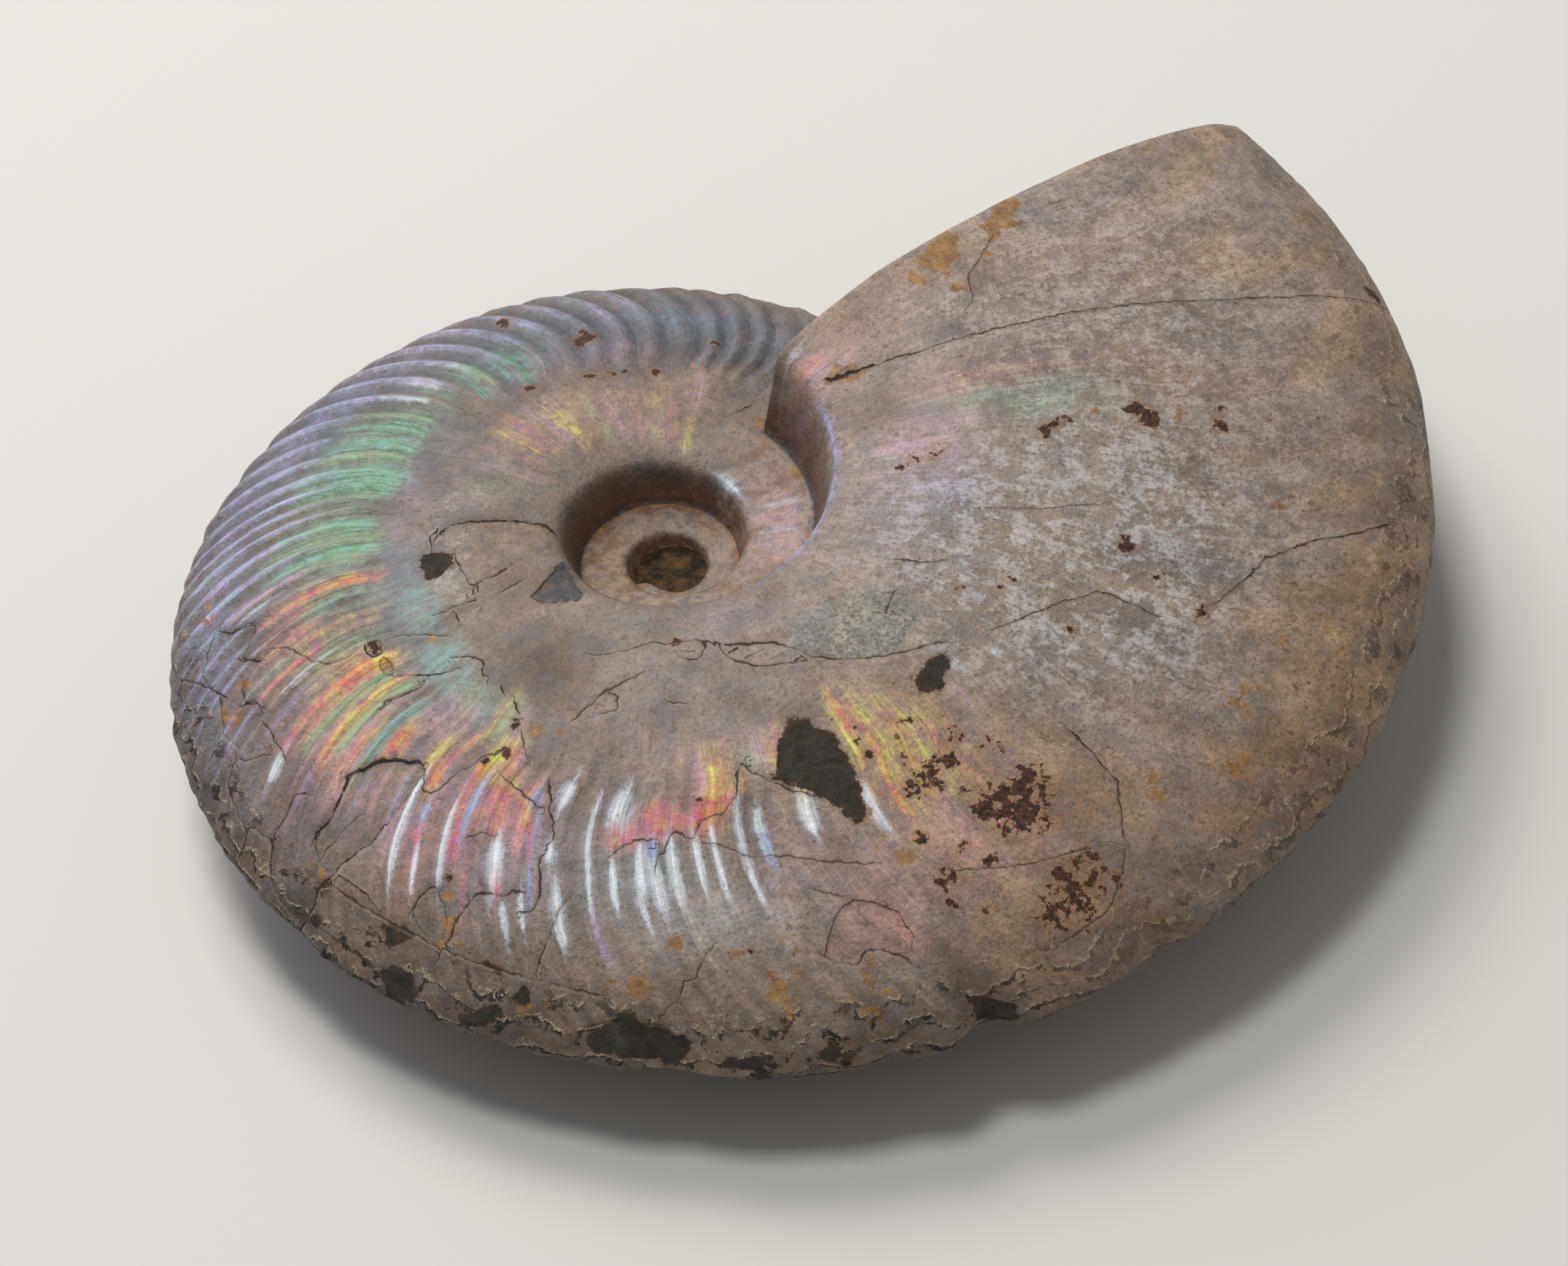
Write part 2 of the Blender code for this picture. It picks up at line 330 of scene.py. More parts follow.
CRACKS = [(half, outline(items)) for half, *items in [
    # round the plate beside the umbilicus
    *table("""
    .19  -223.5 .455  -226 .443  -226.6 .4  -226.4 .35  -226.2 .3  -225.4 .265  -223 .24  -219 .224;
    .05  -225.5 .44  -223.4 .45  -224.2 .462  -222.5 .472  -220 .468;
    .05  -213 .42  -208 .412  -204 .408  -199.5 .406  -197 .407;
    .09  -201.2 .404  -202.2 .37  -202 .345  -203.2 .33;
    .1  -198.6 .478  -198.1 .455  -197.3 .43  -196.6 .41;
    .06  -194.5 .365  -195 .34  -195.5 .31;
    .05  -193.4 .455  -195.5 .452  -197.8 .455
    """),
    # across the nacre on the left
    *table("""
    .04  -210 .79  -209.2 .765  -207.5 .75  -205.5 .735  -203.5 .72  -202 .7  -201 .675  -200.8 .655;
    .11  -201 .625  -200.3 .629  -199.5 .627  -198.2 .62  -197.9 .605;
    .09  -191.2 .6  -189 .575  -187.2 .56  -185.4 .54  -184 .52  -183.3 .51;
    .06  -185.8 .5  -183 .478  -180.3 .47  -178.2 .49  -176.5 .488  -175.8 .497;
    .05  -172.8 .488  -171.5 .496;
    .03  -199.3 .59  -199 .56  -197 .535  -195 .515  -192 .49;
    .05  -188.2 .66  -188.4 .64  -187 .61  -186.3 .585;
    .14  -181.3 .89  -181.9 .87  -181.7 .84  -182.6 .8  -183.7 .775  -182.9 .755  -182.3 .73  -181 .712
        -180 .7  -178 .69  -176.8 .68  -175.8 .676;
    .03  -179.2 .9  -179.3 .85  -178.6 .8;
    .07  -174 .688  -172.8 .712  -171.6 .708  -170.5 .69  -170 .66  -168.5 .63  -167.5 .61  -166.5 .6
        -165 .583;
    .05  -168 .498  -166.3 .51;
    .05  -163.2 .545  -161.5 .57  -160.5 .58
    """),
    # round the flakes at the bottom
    *table("""
    .09  -161.2 .935  -160.7 .9  -160.5 .86  -160 .83  -158.7 .81  -157.4 .81  -156.2 .805  -155.5 .795
        -154.8 .795;
    .08  -153.6 .822  -152.3 .815  -152 .79  -152.4 .76  -153.2 .735  -152.7 .705  -152.2 .695  -153 .665
        -154 .655  -154.3 .635  -155.2 .61;
    .04  -162.2 .628  -160 .635  -157.5 .645  -155.8 .65  -154.3 .652;
    .04  -163.3 .738  -162 .725  -160.8 .722;
    .05  -166 .89  -165.9 .86  -165.3 .838  -164.5 .835;
    .06  -150.6 .9  -149.9 .84  -149.3 .8  -148.5 .78;
    .07  -144.1 .705  -142.5 .685  -141.3 .675  -139.2 .671;
    .08  -138.3 .715  -138 .695  -137.3 .69  -136.8 .67  -136 .655  -135.3 .655  -134.3 .665  -133.3 .668
        -132.9 .655  -132.3 .64  -131 .632  -129 .628  -128 .615  -126.5 .6  -126.3 .575  -125.8 .56  -125 .55
        -124.3 .545;
    .08  -124.8 .55  -124 .56  -121.5 .583  -119.5 .6  -117 .617  -116.2 .622;
    .03  -132.4 .672  -129 .683  -127 .7  -122 .706  -118 .725  -113 .745;
    .03  -120.5 .762  -117.5 .78;
    .05  -137.8 .935  -136 .91  -135.3 .885  -134.3 .88  -133 .85  -132.3 .835
    """),
    # on the dull lower flank at the bottom
    *table("""
    .1  -130.8 .35  -128 .348  -127.3 .332  -126 .318  -125 .315  -124 .318  -121.5 .328  -118 .335
        -115 .34  -112.5 .345  -109 .355  -107.5 .372  -106 .378;
    .06  -106 .378  -105.2 .4  -100.7 .428  -99.2 .432  -94 .459  -89.5 .474  -85 .494;
    .05  -124.2 .32  -122 .345  -121.5 .358  -120.5 .367  -117.5 .38  -115 .388  -111 .396  -106 .407;
    .05  -156 .36  -148 .335  -143 .315  -140 .31  -137 .315  -134.8 .312  -132 .31  -128 .306  -126 .312;
    .05  -155 .49  -152.5 .45  -150 .42  -147.5 .405  -144.5 .39  -142.5 .375;
    .04  -149.5 .465  -147 .455  -147.5 .43  -150 .425;
    .04  -136.4 .43  -135.5 .435  -134.2 .435
    """),
    # along the keel at the bottom left
    *table("""
    .14  -177.4 1  -177.2 .96  -177.6 .94  -176.8 .905  -176.6 .88  -175.8 .855  -175 .835  -174.7 .8;
    .07  -177 .93  -176 .918  -174.5 .918  -169.5 .915  -165.5 .914  -161 .914  -156 .915  -149 .912
        -144 .915;
    .08  -190 .948  -188 .942  -186.1 .933  -185 .95  -184 .965  -182.5 .98  -179 .99;
    .06  -186.3 .93  -186.5 .9  -187 .885  -187.6 .862  -187.1 .85  -186.3 .843;
    .07  -198 .912  -197 .93  -196.3 .94  -195 .947  -192 .953  -190 .955  -188.8 .965  -188.5 .99;
    .05  -198 .91  -196.8 .9  -195.8 .88  -195.2 .865;
    .09  -218 .89  -217 .88  -216.5 .87  -216.5 .83  -216 .82;
    .07  -214 .975  -213 .96  -211.5 .94  -210 .92  -207.5 .9;
    .08  -211.2 .855  -210.3 .84  -209.2 .815;
    .08  -204.3 .87  -203.8 .853  -203.2 .845  -201.5 .833;
    .06  -199.2 .843  -197.6 .835  -196.3 .842  -193.8 .835  -192.5 .84;
    .05  -170 .905  -173 .897  -176 .9
    """),
    # round the worn corner between the ribbed part and the living chamber
    *table("""
    .07  -121.2 .862  -120.5 .872  -118.3 .88  -117.2 .865  -116 .865  -114.5 .88  -113.5 .895  -113 .905
        -111 .905;
    .06  -105 .795  -102 .81  -98 .83  -94 .845  -91 .86;
    .06  -101 .94  -95 .93  -92 .9  -90 .875  -87 .82  -85.5 .8  -85 .76  -84.5 .7
    """),
    # on the living chamber
    *table("""
    .07  -46 .942  -47.1 .923  -49 .884  -50.5 .845  -53.5 .807  -54.2 .795  -58 .776  -61.7 .753;
    .05  -65.9 .69  -65.5 .614  -70 .575  -78.2 .53;
    .04  -52 .567  -54.6 .506  -56.9 .428;
    .05  -70 .416  -72.6 .393  -73.7 .358;
    .05  -85.7 .4  -82 .39;
    .05  -22 .99  -21.9 .9  -21.8 .845  -21.6 .768  -20.5 .667  -19.7 .598  -19 .498  -18.6 .436
        -17.5 .366  -16.3 .327  -15 .305;
    .26  -15 .305  -14 .287  -13 .265  -11.8 .247;
    .05  -3.4 .536  -6.2 .494  -7 .475  -9.2 .467  -11.5 .459  -13 .444;
    .1  -341 .472  -340 .455  -339 .44
    """),
]]
print(len(CRACKS), "cracks")

# %% Flakes
FLAKES = [(step, outline(items)) for step, *items in table("""
    .16  -181.3 .89  -181.9 .87  -181.7 .84  -182.6 .8  -183.7 .775  -182.9 .755  -182.3 .73  -181 .712
        -180 .7  -178 .69  -176.8 .68  -175.8 .676  -174.2 .685  -174.5 .74  -174.8 .8  -175.3 .84  -176.4 .88
        -176.9 .905  -179 .905;
    .14  -201 .625  -199.5 .627  -198.2 .62  -197.9 .603  -200 .595  -201.2 .603;
    .12  -196.8 .61  -195.5 .617  -193.5 .617  -192.3 .61  -192.3 .602  -194 .597  -196.5 .602;
    .14  -197.5 .235  -194 .25  -190 .28  -187 .32  -184 .315  -180 .3  -176 .275  -172 .255  -175 .245
        -180 .24  -186 .235  -192 .225;
    .12  -218 .9  -217 .88  -216.4 .87  -216.4 .83  -216 .82  -214 .822  -211.5 .85  -210.3 .838
        -209.2 .815  -207 .86  -204.2 .86  -203 .84  -201 .84  -199.5 .86  -199 .9  -202 .915  -208 .905
        -212 .93  -215 .92;
    .1  -166 .89  -165.9 .86  -165.3 .838  -164.5 .835  -163 .85  -161.8 .87  -161.3 .905  -163 .908;
    .12  -121.2 .862  -120.5 .872  -118.3 .88  -117.2 .865  -116 .865  -114.5 .88  -113.2 .885  -112.2 .86
        -112.6 .825  -114.5 .8  -116.5 .788  -118.4 .8  -120.2 .83;
    .1  -180 .985  -172 .975  -165 .982  -160 .99  -164 .999  -175 .999;
    .16  -146 .985  -145 .96  -142 .945  -138 .945  -135 .965  -136 .99  -141 .998
""")]
print(len(FLAKES), "flakes")

# %% [markdown]
# ## Relief
# The ribs stand a tenth or two of a millimetre high, closer and finer towards the later part of the
# turn, and fade out on the living chamber. A displace modifier with a texture can't follow such
# uneven ribs, so each vertex is moved along its own normal by a height worked out on the chart.
# A chip of the keel is its growth, its reach in degrees and its depth in mm. The lower flank has the
# same kinds of wear as the upper one, but elsewhere along the coil.

# %% Ribs and chips
KEEL_CHIPS = ((-178, 6, 0.3), (-147, 8, 0.3), (-137, 5, 0.5), (-109, 4, 1.5), (-118, 3, 0.4), (-92, 3, 0.3))
RIB_HEIGHTS = np.array([(-360, 0.03), (-345, 0.12), (-332, 0.22), (-250, 0.24), (-238, 0.19), (-205, 0.12),
                        (-135, 0.11), (-110, 0.09), (-95, 0.08), (-60, 0.09), (0, 0.05)]).T


def rib_relief(growth, share):
    """How high the ribs stand, in mm, with the valleys between them below 0."""
    phase = np.interp(growth - lean(share), CRESTS, np.arange(len(CRESTS)))
    uneven = 0.8 + 0.35 * np.sin(np.round(phase) * 2.3) * np.sin(np.round(phase) * 0.7)
    crest = (0.5 + 0.5 * np.cos(2 * math.pi * phase)) ** 1.2 * 2 - 0.9
    on_flank = blend(0.5, 0.64, share) * (1 - 0.6 * blend(0.93, 1.0, share))
    return np.interp(growth, *RIB_HEIGHTS) * uneven * crest * on_flank


def chip_relief(growth, share):
    """How deep the chips of the keel go, in mm, as numbers below 0."""
    depth = np.zeros_like(growth)
    for middle, half, most in KEEL_CHIPS:
        depth = np.maximum(depth, most * (1 - blend(0, 1, np.abs(growth - middle) / half)))
    return -depth * blend(0.86, 0.99, share)


# %% Cracks, flakes and the whole relief
KEEL_FROM = 0.9
LOWER_FLANK_MOVE = 137


def crack_fields(places, radius):
    """Signed distance, plain distance and half width of the nearest crack, for every place."""
    signed = np.full(len(places), 9.0)
    plain = np.full(len(places), 9.0)
    width = np.full(len(places), 0.05)
    for half, line in CRACKS:
        distance = line_distance(places, radius, line)
        closer = np.abs(distance) - half < plain - width
        signed = np.where(closer, distance, signed)
        plain = np.where(closer, np.abs(distance), plain)
        width = np.where(closer, half, width)
    return signed, plain, width


def flake_fields(places, radius):
    """Signed distance to the nearest flake's edge, negative inside, and the depth of its step."""
    edge = np.full(len(places), 9.0)
    depth = np.zeros(len(places))
    for step, corners in FLAKES:
        distance = line_distance(places, radius, corners, closed=True)
        closer = distance < edge
        edge = np.where(closer, distance, edge)
        depth = np.where(closer, step, depth)
    return edge, depth


def drawn_growth(growth, share, height):
    """The growth at which the chart is read: another one for the lower flank, up to the keel."""
    moved = (growth - LOWER_FLANK_MOVE) % 360 - 360
    return np.where((height < 0) & (growth > LAST_TURN) & (share <= KEEL_FROM), moved, growth)


def noise_at(points, size, octaves=3):
    """Fractal noise, about -1 to 1, with features of this size in mm."""
    return np.array([noise.fractal(Vector(p), 0.9, 2.1, octaves) for p in points / size])


def surface_relief(points, growth, share, height):
    """How far every vertex is raised, in mm. The seams stay where they are."""
    radius = radius_at(growth) * share
    places = chart(drawn_growth(growth, share, height), share)
    _, plain, width = crack_fields(places, radius)
    edge, depth = flake_fields(places, radius)
    relief = rib_relief(growth, share) + chip_relief(growth, share)
    # A crack is a groove as deep as 0.8 of its half width, and a flake ends in a step.
    relief -= 0.8 * width * np.exp(-(plain / (width + 0.13)) ** 2)
    relief -= depth * (1 - blend(-0.12, 0.18, edge))
    # The living chamber and the inner turns are rougher than the ribbed part.
    chamber = blend(-110, -80, growth)
    inner = (growth < LAST_TURN) | (share < 0.3)
    relief += noise_at(points, 9.0) * (0.05 + 0.05 * chamber)
    relief += noise_at(points + 50, 1.9) * (0.015 + 0.02 * chamber + 0.04 * inner)
    # The keel is worn most where its layers peel, in the middle of the last turn.
    most_worn = blend(-222, -210, growth) * (1 - blend(-100, -60, growth))
    worn_keel = blend(KEEL_FROM, 0.99, share) * (0.5 + 0.5 * most_worn)
    relief += worn_keel * (noise_at(points + 90, 2.4, 4) * 0.22 - 0.05)
    to_landing = np.where(growth < LAST_TURN + 10, np.abs(share - LANDING_SHARE), 1)
    return relief * blend(0.0, 0.02, np.minimum(np.abs(share - SEAM_SHARE), to_landing))

# %% [markdown]
# ## The flat break at the mouth
# The real mouth broke off in one plane, from the keel to the shoulder. Cutting the coil with a plane
# would leave ragged faces, so the rows near it slide along the coil instead, until the last of them
# lie in the plane. Every row keeps its section on the way. The last of the whorl also swells a little.

# %% The plane of the break
MOUTH_LEAN = 6.7
MOUTH_REACH = 55.0
PIT_REACH = 4.4
SWELL = 0.016
KEEL_BACK = -0.9
SHOULDER_SHARE = 0.222


def in_the_plan(growth, radius):
    """The place at this growth and radius, as seen along the axis of the coil."""
    angle = math.radians(MOUTH_HEADING + growth)
    return np.array([math.cos(angle), math.sin(angle)]) * radius


keel_end = in_the_plan(KEEL_BACK, radius_at(KEEL_BACK) * (1 + SWELL))
shoulder_end = in_the_plan(MOUTH_LEAN, SHOULDER_SHARE * radius_at(MOUTH_LEAN))
ALONG_BREAK = (keel_end - shoulder_end) / np.linalg.norm(keel_end - shoulder_end)
BREAK_NORMAL = np.array([-ALONG_BREAK[1], ALONG_BREAK[0]])
print("the break is", round(float(np.linalg.norm(keel_end - shoulder_end)), 1), "mm long")


# %% Slide the rows onto the break
def slide_to_break(radius):
    """How far points at this radius on the mouth's heading slide along the coil, in degrees."""
    low = np.full_like(radius, -40.0)
    high = np.full_like(radius, 40.0)
    for _ in range(40):
        middle = (low + high) / 2
        heading = np.radians(MOUTH_HEADING + middle)
        reach = radius * np.exp(RATE * middle)
        off_x = reach * np.cos(heading) - keel_end[0]
        off_y = reach * np.sin(heading) - keel_end[1]
        side = off_x * BREAK_NORMAL[0] + off_y * BREAK_NORMAL[1]
        low = np.where(side < 0, middle, low)
        high = np.where(side < 0, high, middle)
    return (low + high) / 2


def flatten_break(points, growth):
    """The points and their growth after the slide, which fades out away from the mouth."""
    radius = np.hypot(points[:, 0], points[:, 1])
    off = np.degrees(np.arctan2(points[:, 1], points[:, 0])) - MOUTH_HEADING
    off = (off + 180) % 360 - 180
    reach = 1 - blend(0, MOUTH_REACH, np.abs(off))
    slide = np.where(radius > PIT_REACH, reach * slide_to_break(radius * np.exp(-RATE * off)), 0)
    turn, factor = np.radians(slide), np.exp(RATE * slide)
    moved = np.stack([points[:, 0] * np.cos(turn) - points[:, 1] * np.sin(turn),
                      points[:, 0] * np.sin(turn) + points[:, 1] * np.cos(turn), points[:, 2]], axis=1)
    return moved * factor[:, None], growth + slide


def read(bm, name):
    """One number of every vertex."""
    return np.array([vert[layers[name]] for vert in bm.verts])


def move_to(bm, points):
    """Carries the vertices to these places in mm."""
    for vert, point in zip(bm.verts, points):
        vert.co = Vector(point) * MM


points = np.array([vert.co[:] for vert in bm.verts]) / MM
growth, share = read(bm, "growth"), read(bm, "share")
points[:, :2] *= 1 + SWELL * (blend(-58, -6, growth) * blend(0.3, 0.95, share))[:, None]
points, growth = flatten_break(points, growth)
move_to(bm, points)
for vert, own_growth in zip(bm.verts, growth):
    vert[layers["growth"]] = own_growth
bmesh.ops.recalc_face_normals(bm, faces=bm.faces)
bm.normal_update()
rim = [e for e in bm.edges if len(e.link_faces) == 1 and all(v.co.length > 10 * MM for v in e.verts)]
off_plane = [abs((np.array(v.co.xy) / MM - keel_end) @ BREAK_NORMAL) for e in rim for v in e.verts]
print("rim of the mouth:", len(rim), "edges, at most", round(max(off_plane), 4), "mm off the plane")

# %% Raise the ribs and press in the cracks
MOST_RAISED, MOST_RAISED_BELOW = 0.22, 0.02
share, height = read(bm, "share"), read(bm, "height")
relief = surface_relief(points, growth, share, height)
relief = np.minimum(relief, np.where(height < 0, MOST_RAISED_BELOW, MOST_RAISED))
normals = np.array([vert.normal[:] for vert in bm.verts])
outward = np.sign(np.sum(normals * (points / np.linalg.norm(points, axis=1)[:, None]), axis=1).mean())
move_to(bm, points + normals * outward * relief[:, None])
print("relief from", round(float(relief.min()), 2), "to", round(float(relief.max()), 2), "mm")

# %% [markdown]
# ## The pit and the broken mouth
# Dark matrix fills the middle of the umbilicus and the whole mouth. Each is first one flat face. It
# is cut into small squares with planes, as with a knife, and then made uneven with noise. The rim of
# the mouth is inset first, so that the broken edge of the shell stands round the stone.

# %% Tools for a stone face
TOUCHING = 1e-7


def with_edges_and_corners(faces):
    """These faces with their edges and corners, as a cut needs them, and always in one order."""
    parts = list(faces)
    for face in faces:
        parts += [*face.edges, *face.verts]
    return list(dict.fromkeys(parts))


def cut(bm, faces, place, normal, **settings):
    """Cuts these faces with one plane."""
    return bmesh.ops.bisect_plane(bm, geom=with_edges_and_corners(faces), dist=TOUCHING, plane_co=place,
                                  plane_no=normal, **settings)


def cut_in_squares(bm, faces, directions, step):
    """Cuts these faces with planes a step apart, across each of the directions."""
    region = faces
    for direction in map(Vector, directions):
        reach = [direction.dot(vert.co) for face in region for vert in face.verts]
        for level in np.arange(min(reach) + step / 2, max(reach), step):
            made = cut(bm, region, direction * level, direction)["geom"]
            region = [part for part in made if isinstance(part, bmesh.types.BMFace)]
    return region


def roughen(faces, inward, size, depth):
    """Moves the inner points of a cut face in or out, unevenly. Its border stays."""
    own = set(faces)
    for vert in {v for f in faces for v in f.verts}:
        if all(face in own for face in vert.link_faces):
            vert.co += inward * depth * (0.5 + 0.5 * noise.fractal(vert.co / size, 0.7, 2.2, 4))


# %% Fill the pit on both sides
PLUG_LEVEL = 1.78
PLUG_SQUARE, PLUG_LUMP, PLUG_DEPTH = 0.42 * MM, 0.9 * MM, 0.32 * MM


def fill_pit(bm, side):
    """Below one level everything in the pit goes, and a flat face closes it."""
    middle = [face for face in bm.faces
              if all(v.co.xy.length < PIT_REACH * MM and v.co.z * side > 0 for v in face.verts)]
    left = cut(bm, middle, (0, 0, side * PLUG_LEVEL * MM), (0, 0, side), clear_inner=True)["geom_cut"]
    edges = [part for part in left if isinstance(part, bmesh.types.BMEdge)]
    return bmesh.ops.contextual_create(bm, geom=edges)["faces"]


stone_faces = []
for side in (1, -1):
    plug = cut_in_squares(bm, fill_pit(bm, side), ((1, 0, 0), (0, 1, 0)), PLUG_SQUARE)
    roughen(plug, Vector((0, 0, -side)), PLUG_LUMP, PLUG_DEPTH)
    stone_faces += plug
print("faces in the two plugs:", len(stone_faces))

# %% Fill the mouth
STONE, RIM = 1, 2
RIM_WIDTH = 0.55 * MM
MOUTH_SQUARE, MOUTH_LUMP, MOUTH_DEPTH = 1.15 * MM, 3.5 * MM, 0.9 * MM
rim = [edge for edge in bm.edges if len(edge.link_faces) == 1]
mouth = bmesh.ops.contextual_create(bm, geom=rim)["faces"]
for face in mouth:
    face.normal_update()
print("faces that close the mouth:", len(mouth), "towards", [round(c, 2) for c in mouth[0].normal])
ring = bmesh.ops.inset_region(bm, faces=mouth, thickness=RIM_WIDTH, depth=0, use_boundary=True,
                              use_even_offset=True)["faces"]
mouth = cut_in_squares(bm, mouth, ((0, 0, 1), (*ALONG_BREAK, 0)), MOUTH_SQUARE)
roughen(mouth, -Vector((*BREAK_NORMAL, 0)), MOUTH_LUMP, MOUTH_DEPTH)
for faces, slot in ((mouth + stone_faces, STONE), (ring, RIM)):
    for face in faces:
        face.material_index = slot
bmesh.ops.triangulate(bm, faces=[f for f in bm.faces if len(f.verts) > 4])
bmesh.ops.recalc_face_normals(bm, faces=bm.faces)
print("open edges now:", sum(len(e.link_faces) != 2 for e in bm.edges), "faces:", len(bm.faces),
      "triangles:", sum(len(f.verts) - 2 for f in bm.faces))

# %% Lay the shell down and make the object
CLEAR = 0.02
lean_axis = Vector((-math.sin(REST_LEAN_HEADING), math.cos(REST_LEAN_HEADING), 0))
REST = Matrix.Rotation(REST_TURN, 3, "Z") @ Matrix.Rotation(REST_LEAN, 3, lean_axis)
coil_points = np.array([vert.co[:] for vert in bm.verts]) / MM
growth, share, height = [read(bm, name) for name in layers]
bmesh.ops.rotate(bm, verts=bm.verts, cent=(0, 0, 0), matrix=REST)
bmesh.ops.translate(bm, verts=bm.verts, vec=COIL_PLACE * MM)
for vert in bm.verts:
    vert.co = Vector(min(max(c, least + CLEAR * MM), most - CLEAR * MM)
                     for c, least, most in zip(vert.co, *CAD_BOX))
mesh = bpy.data.meshes.new("ammonite shell")
bm.to_mesh(mesh)
bm.free()
mesh.shade_smooth()
shell = bpy.data.objects.new("ammonite_shell", mesh)
bpy.context.scene.collection.objects.link(shell)
for name, end in (("lowest", min), ("highest", max)):
    print("shell,", name, "mm:", [round(end(v.co[i] for v in mesh.vertices) / MM, 2) for i in range(3)])

# %% [markdown]
# ## Colours of the old shell
# The shell is aragonite that has turned warm grey and beige. Each tint below is a soft oval on the
# chart: its middle, its reach in degrees and in share, a colour and a strength. A shade is an oval
# too, and says how much lighter it is there. A plate is a closed outline with a colour, a strength
# and the part of the nacre that stays on it in front. Noise bends them all a little, so that no edge
# is clean.

# %% Tints, shades and plates
SHELL_DULL = "#8f7f72"
TINTS = table("""
    -60 .55 34 .28 #9c8c7d .8;  -72 .86 36 .12 #9a7f64 .8;  -30 .85 34 .12 #968470 .7;
    -10 .7 16 .26 #a09083 .8;  -8 .35 14 .14 #a38c7a .7;  -45 .34 34 .12 #a08b7b .7;
    -150 .42 55 .1 #96877c .8;  -165 .415 13 .07 #5b4330 1;  -176 .36 6 .05 #6b5e55 .6;
    -212 .35 14 .11 #8d7a6b .9;  -235 .4 7 .06 #a5968a .7;  -215 .54 26 .05 #8d91a0 .7;
    -240 .62 30 .08 #857e86 .6;  -178 .56 14 .06 #8c8a86 .5;  -130 .88 34 .09 #917a5e .9;
    -160 .94 34 .06 #7b654f .85;  -200 .9 22 .09 #7d6a58 .85;  -190 .99 60 .03 #54463a .8;
    -70 1 60 .05 #5f4f40 .85;  -20 1 30 .04 #7a6a5e .5;  -315 .76 26 .16 #707884 .85;
    -340 .7 14 .2 #7b7f88 .7;  -285 .78 18 .14 #747a84 .7;  -255 .88 26 .12 #7f8194 .8;
    -226 .9 20 .1 #857f88 .6;  -300 .4 70 .14 #988a84 .9;  -345 .42 12 .08 #8b735e .6;
    -400 .32 34 .14 #a18d82 .8;  -404 .3 18 .1 #a39aa0 .6;  -272 .46 15 .09 #999ca0 .6;
    -130 .77 16 .1 #a5a29d .8;  -176 .75 15 .12 #a59ca0 .6;  -82 .95 22 .06 #98744f .8;
    -58 .94 18 .06 #a07e5a .6;  -470 .33 60 .14 #8d7660 .85;  -580 .33 70 .14 #816850 .85;
    -120 .28 14 .05 #a18f94 .5;  -112 .78 10 .1 #a08476 .7;  -100 .62 9 .12 #a08a70 .6;
    -142 .62 22 .14 #8d7c73 .7;  -93 .73 10 .09 #8d6840 .5
""")
# Two of the shades stand for light. The one at -125 darkens the keel where it turns down, as painted shade.
# The one at -138 lightens the bottom crests under the overhead lamp, as painted light.
SHADES = table("""
    -138 .76 30 .12 .22;  -318 .36 28 .12 .15;  -243 .92 26 .09 -.13;  -176 .74 16 .12 .05;
    -402 .31 20 .1 .1;  -125 1 72 .06 -.16;  -55 .58 40 .28 .02
""")
slate, leaf, chip, sandstone = [(tint, most, stays, outline(items)) for tint, most, stays, *items in table("""
    #262a36 .95 .1  -197.5 .228  -194 .25  -190 .28  -187 .32  -184 .315  -180 .3  -176 .275  -172 .255
        -175 .24  -180 .232  -186 .228;
    #87735f .75 .1  -223.5 .452  -226 .44  -226.4 .4  -226.2 .35  -226 .3  -225 .265  -222 .242  -215 .245
        -207 .27  -203.2 .33  -202.2 .37  -203.5 .406  -208 .412  -214 .425;
    #9c958b .75 .4  -212.5 .47  -209 .425  -205 .412  -202 .43  -204.5 .47  -208 .485;
    #86847a .72 .4  -108 .362  -104 .335  -97 .33  -90 .34  -84 .36  -80 .4  -84 .445  -92 .465  -99 .438
        -104 .412
""")]
PLATES = (slate, leaf, chip, ("#75675a", 0.70, 0.45, FLAKES[0][1]), ("#a87d6c", 0.50, 0.5, FLAKES[6][1]),
          sandstone)
BRIGHTNESS = np.array([(-380, 0.86), (-355, 0.69), (-330, 0.62), (-300, 0.62), (-250, 0.64), (-200, 0.72),
                       (-150, 0.82), (-110, 0.91), (-80, 1.02), (20, 1.0)]).T
print(len(TINTS), "tints,", len(SHADES), "shades,", len(PLATES), "plates")


# %% Painting on the vertices
def linear(hex_colour):
    """An sRGB hex colour as the linear values that the shaders need."""
    parts = [int(hex_colour[i:i + 2], 16) / 255 for i in (1, 3, 5)]
    return np.array([c / 12.92 if c <= 0.04045 else ((c + 0.055) / 1.055) ** 2.4 for c in parts])


def smooth_noise(points, size, octaves=3):
    """Noise in 0 to 1, with most values between 0.2 and 0.8."""
    return np.clip(0.5 + 0.6 * noise_at(points, size, octaves), 0, 1)


def oval(growth, share, middle, middle_share, reach, reach_share):
    """1 in the middle of an oval on the chart, and falling to 0 outside it."""
    return np.exp(-((growth - middle) / reach) ** 2 - ((share - middle_share) / reach_share) ** 2)


def laid_over(colour, tint, weight, shade=1.0):
    """The colours with a tint laid over them. The weight and the shade differ from vertex to vertex."""
    weight = weight[:, None]
    return colour * (1 - weight) + linear(tint) * np.reshape(shade, (-1, 1)) * weight


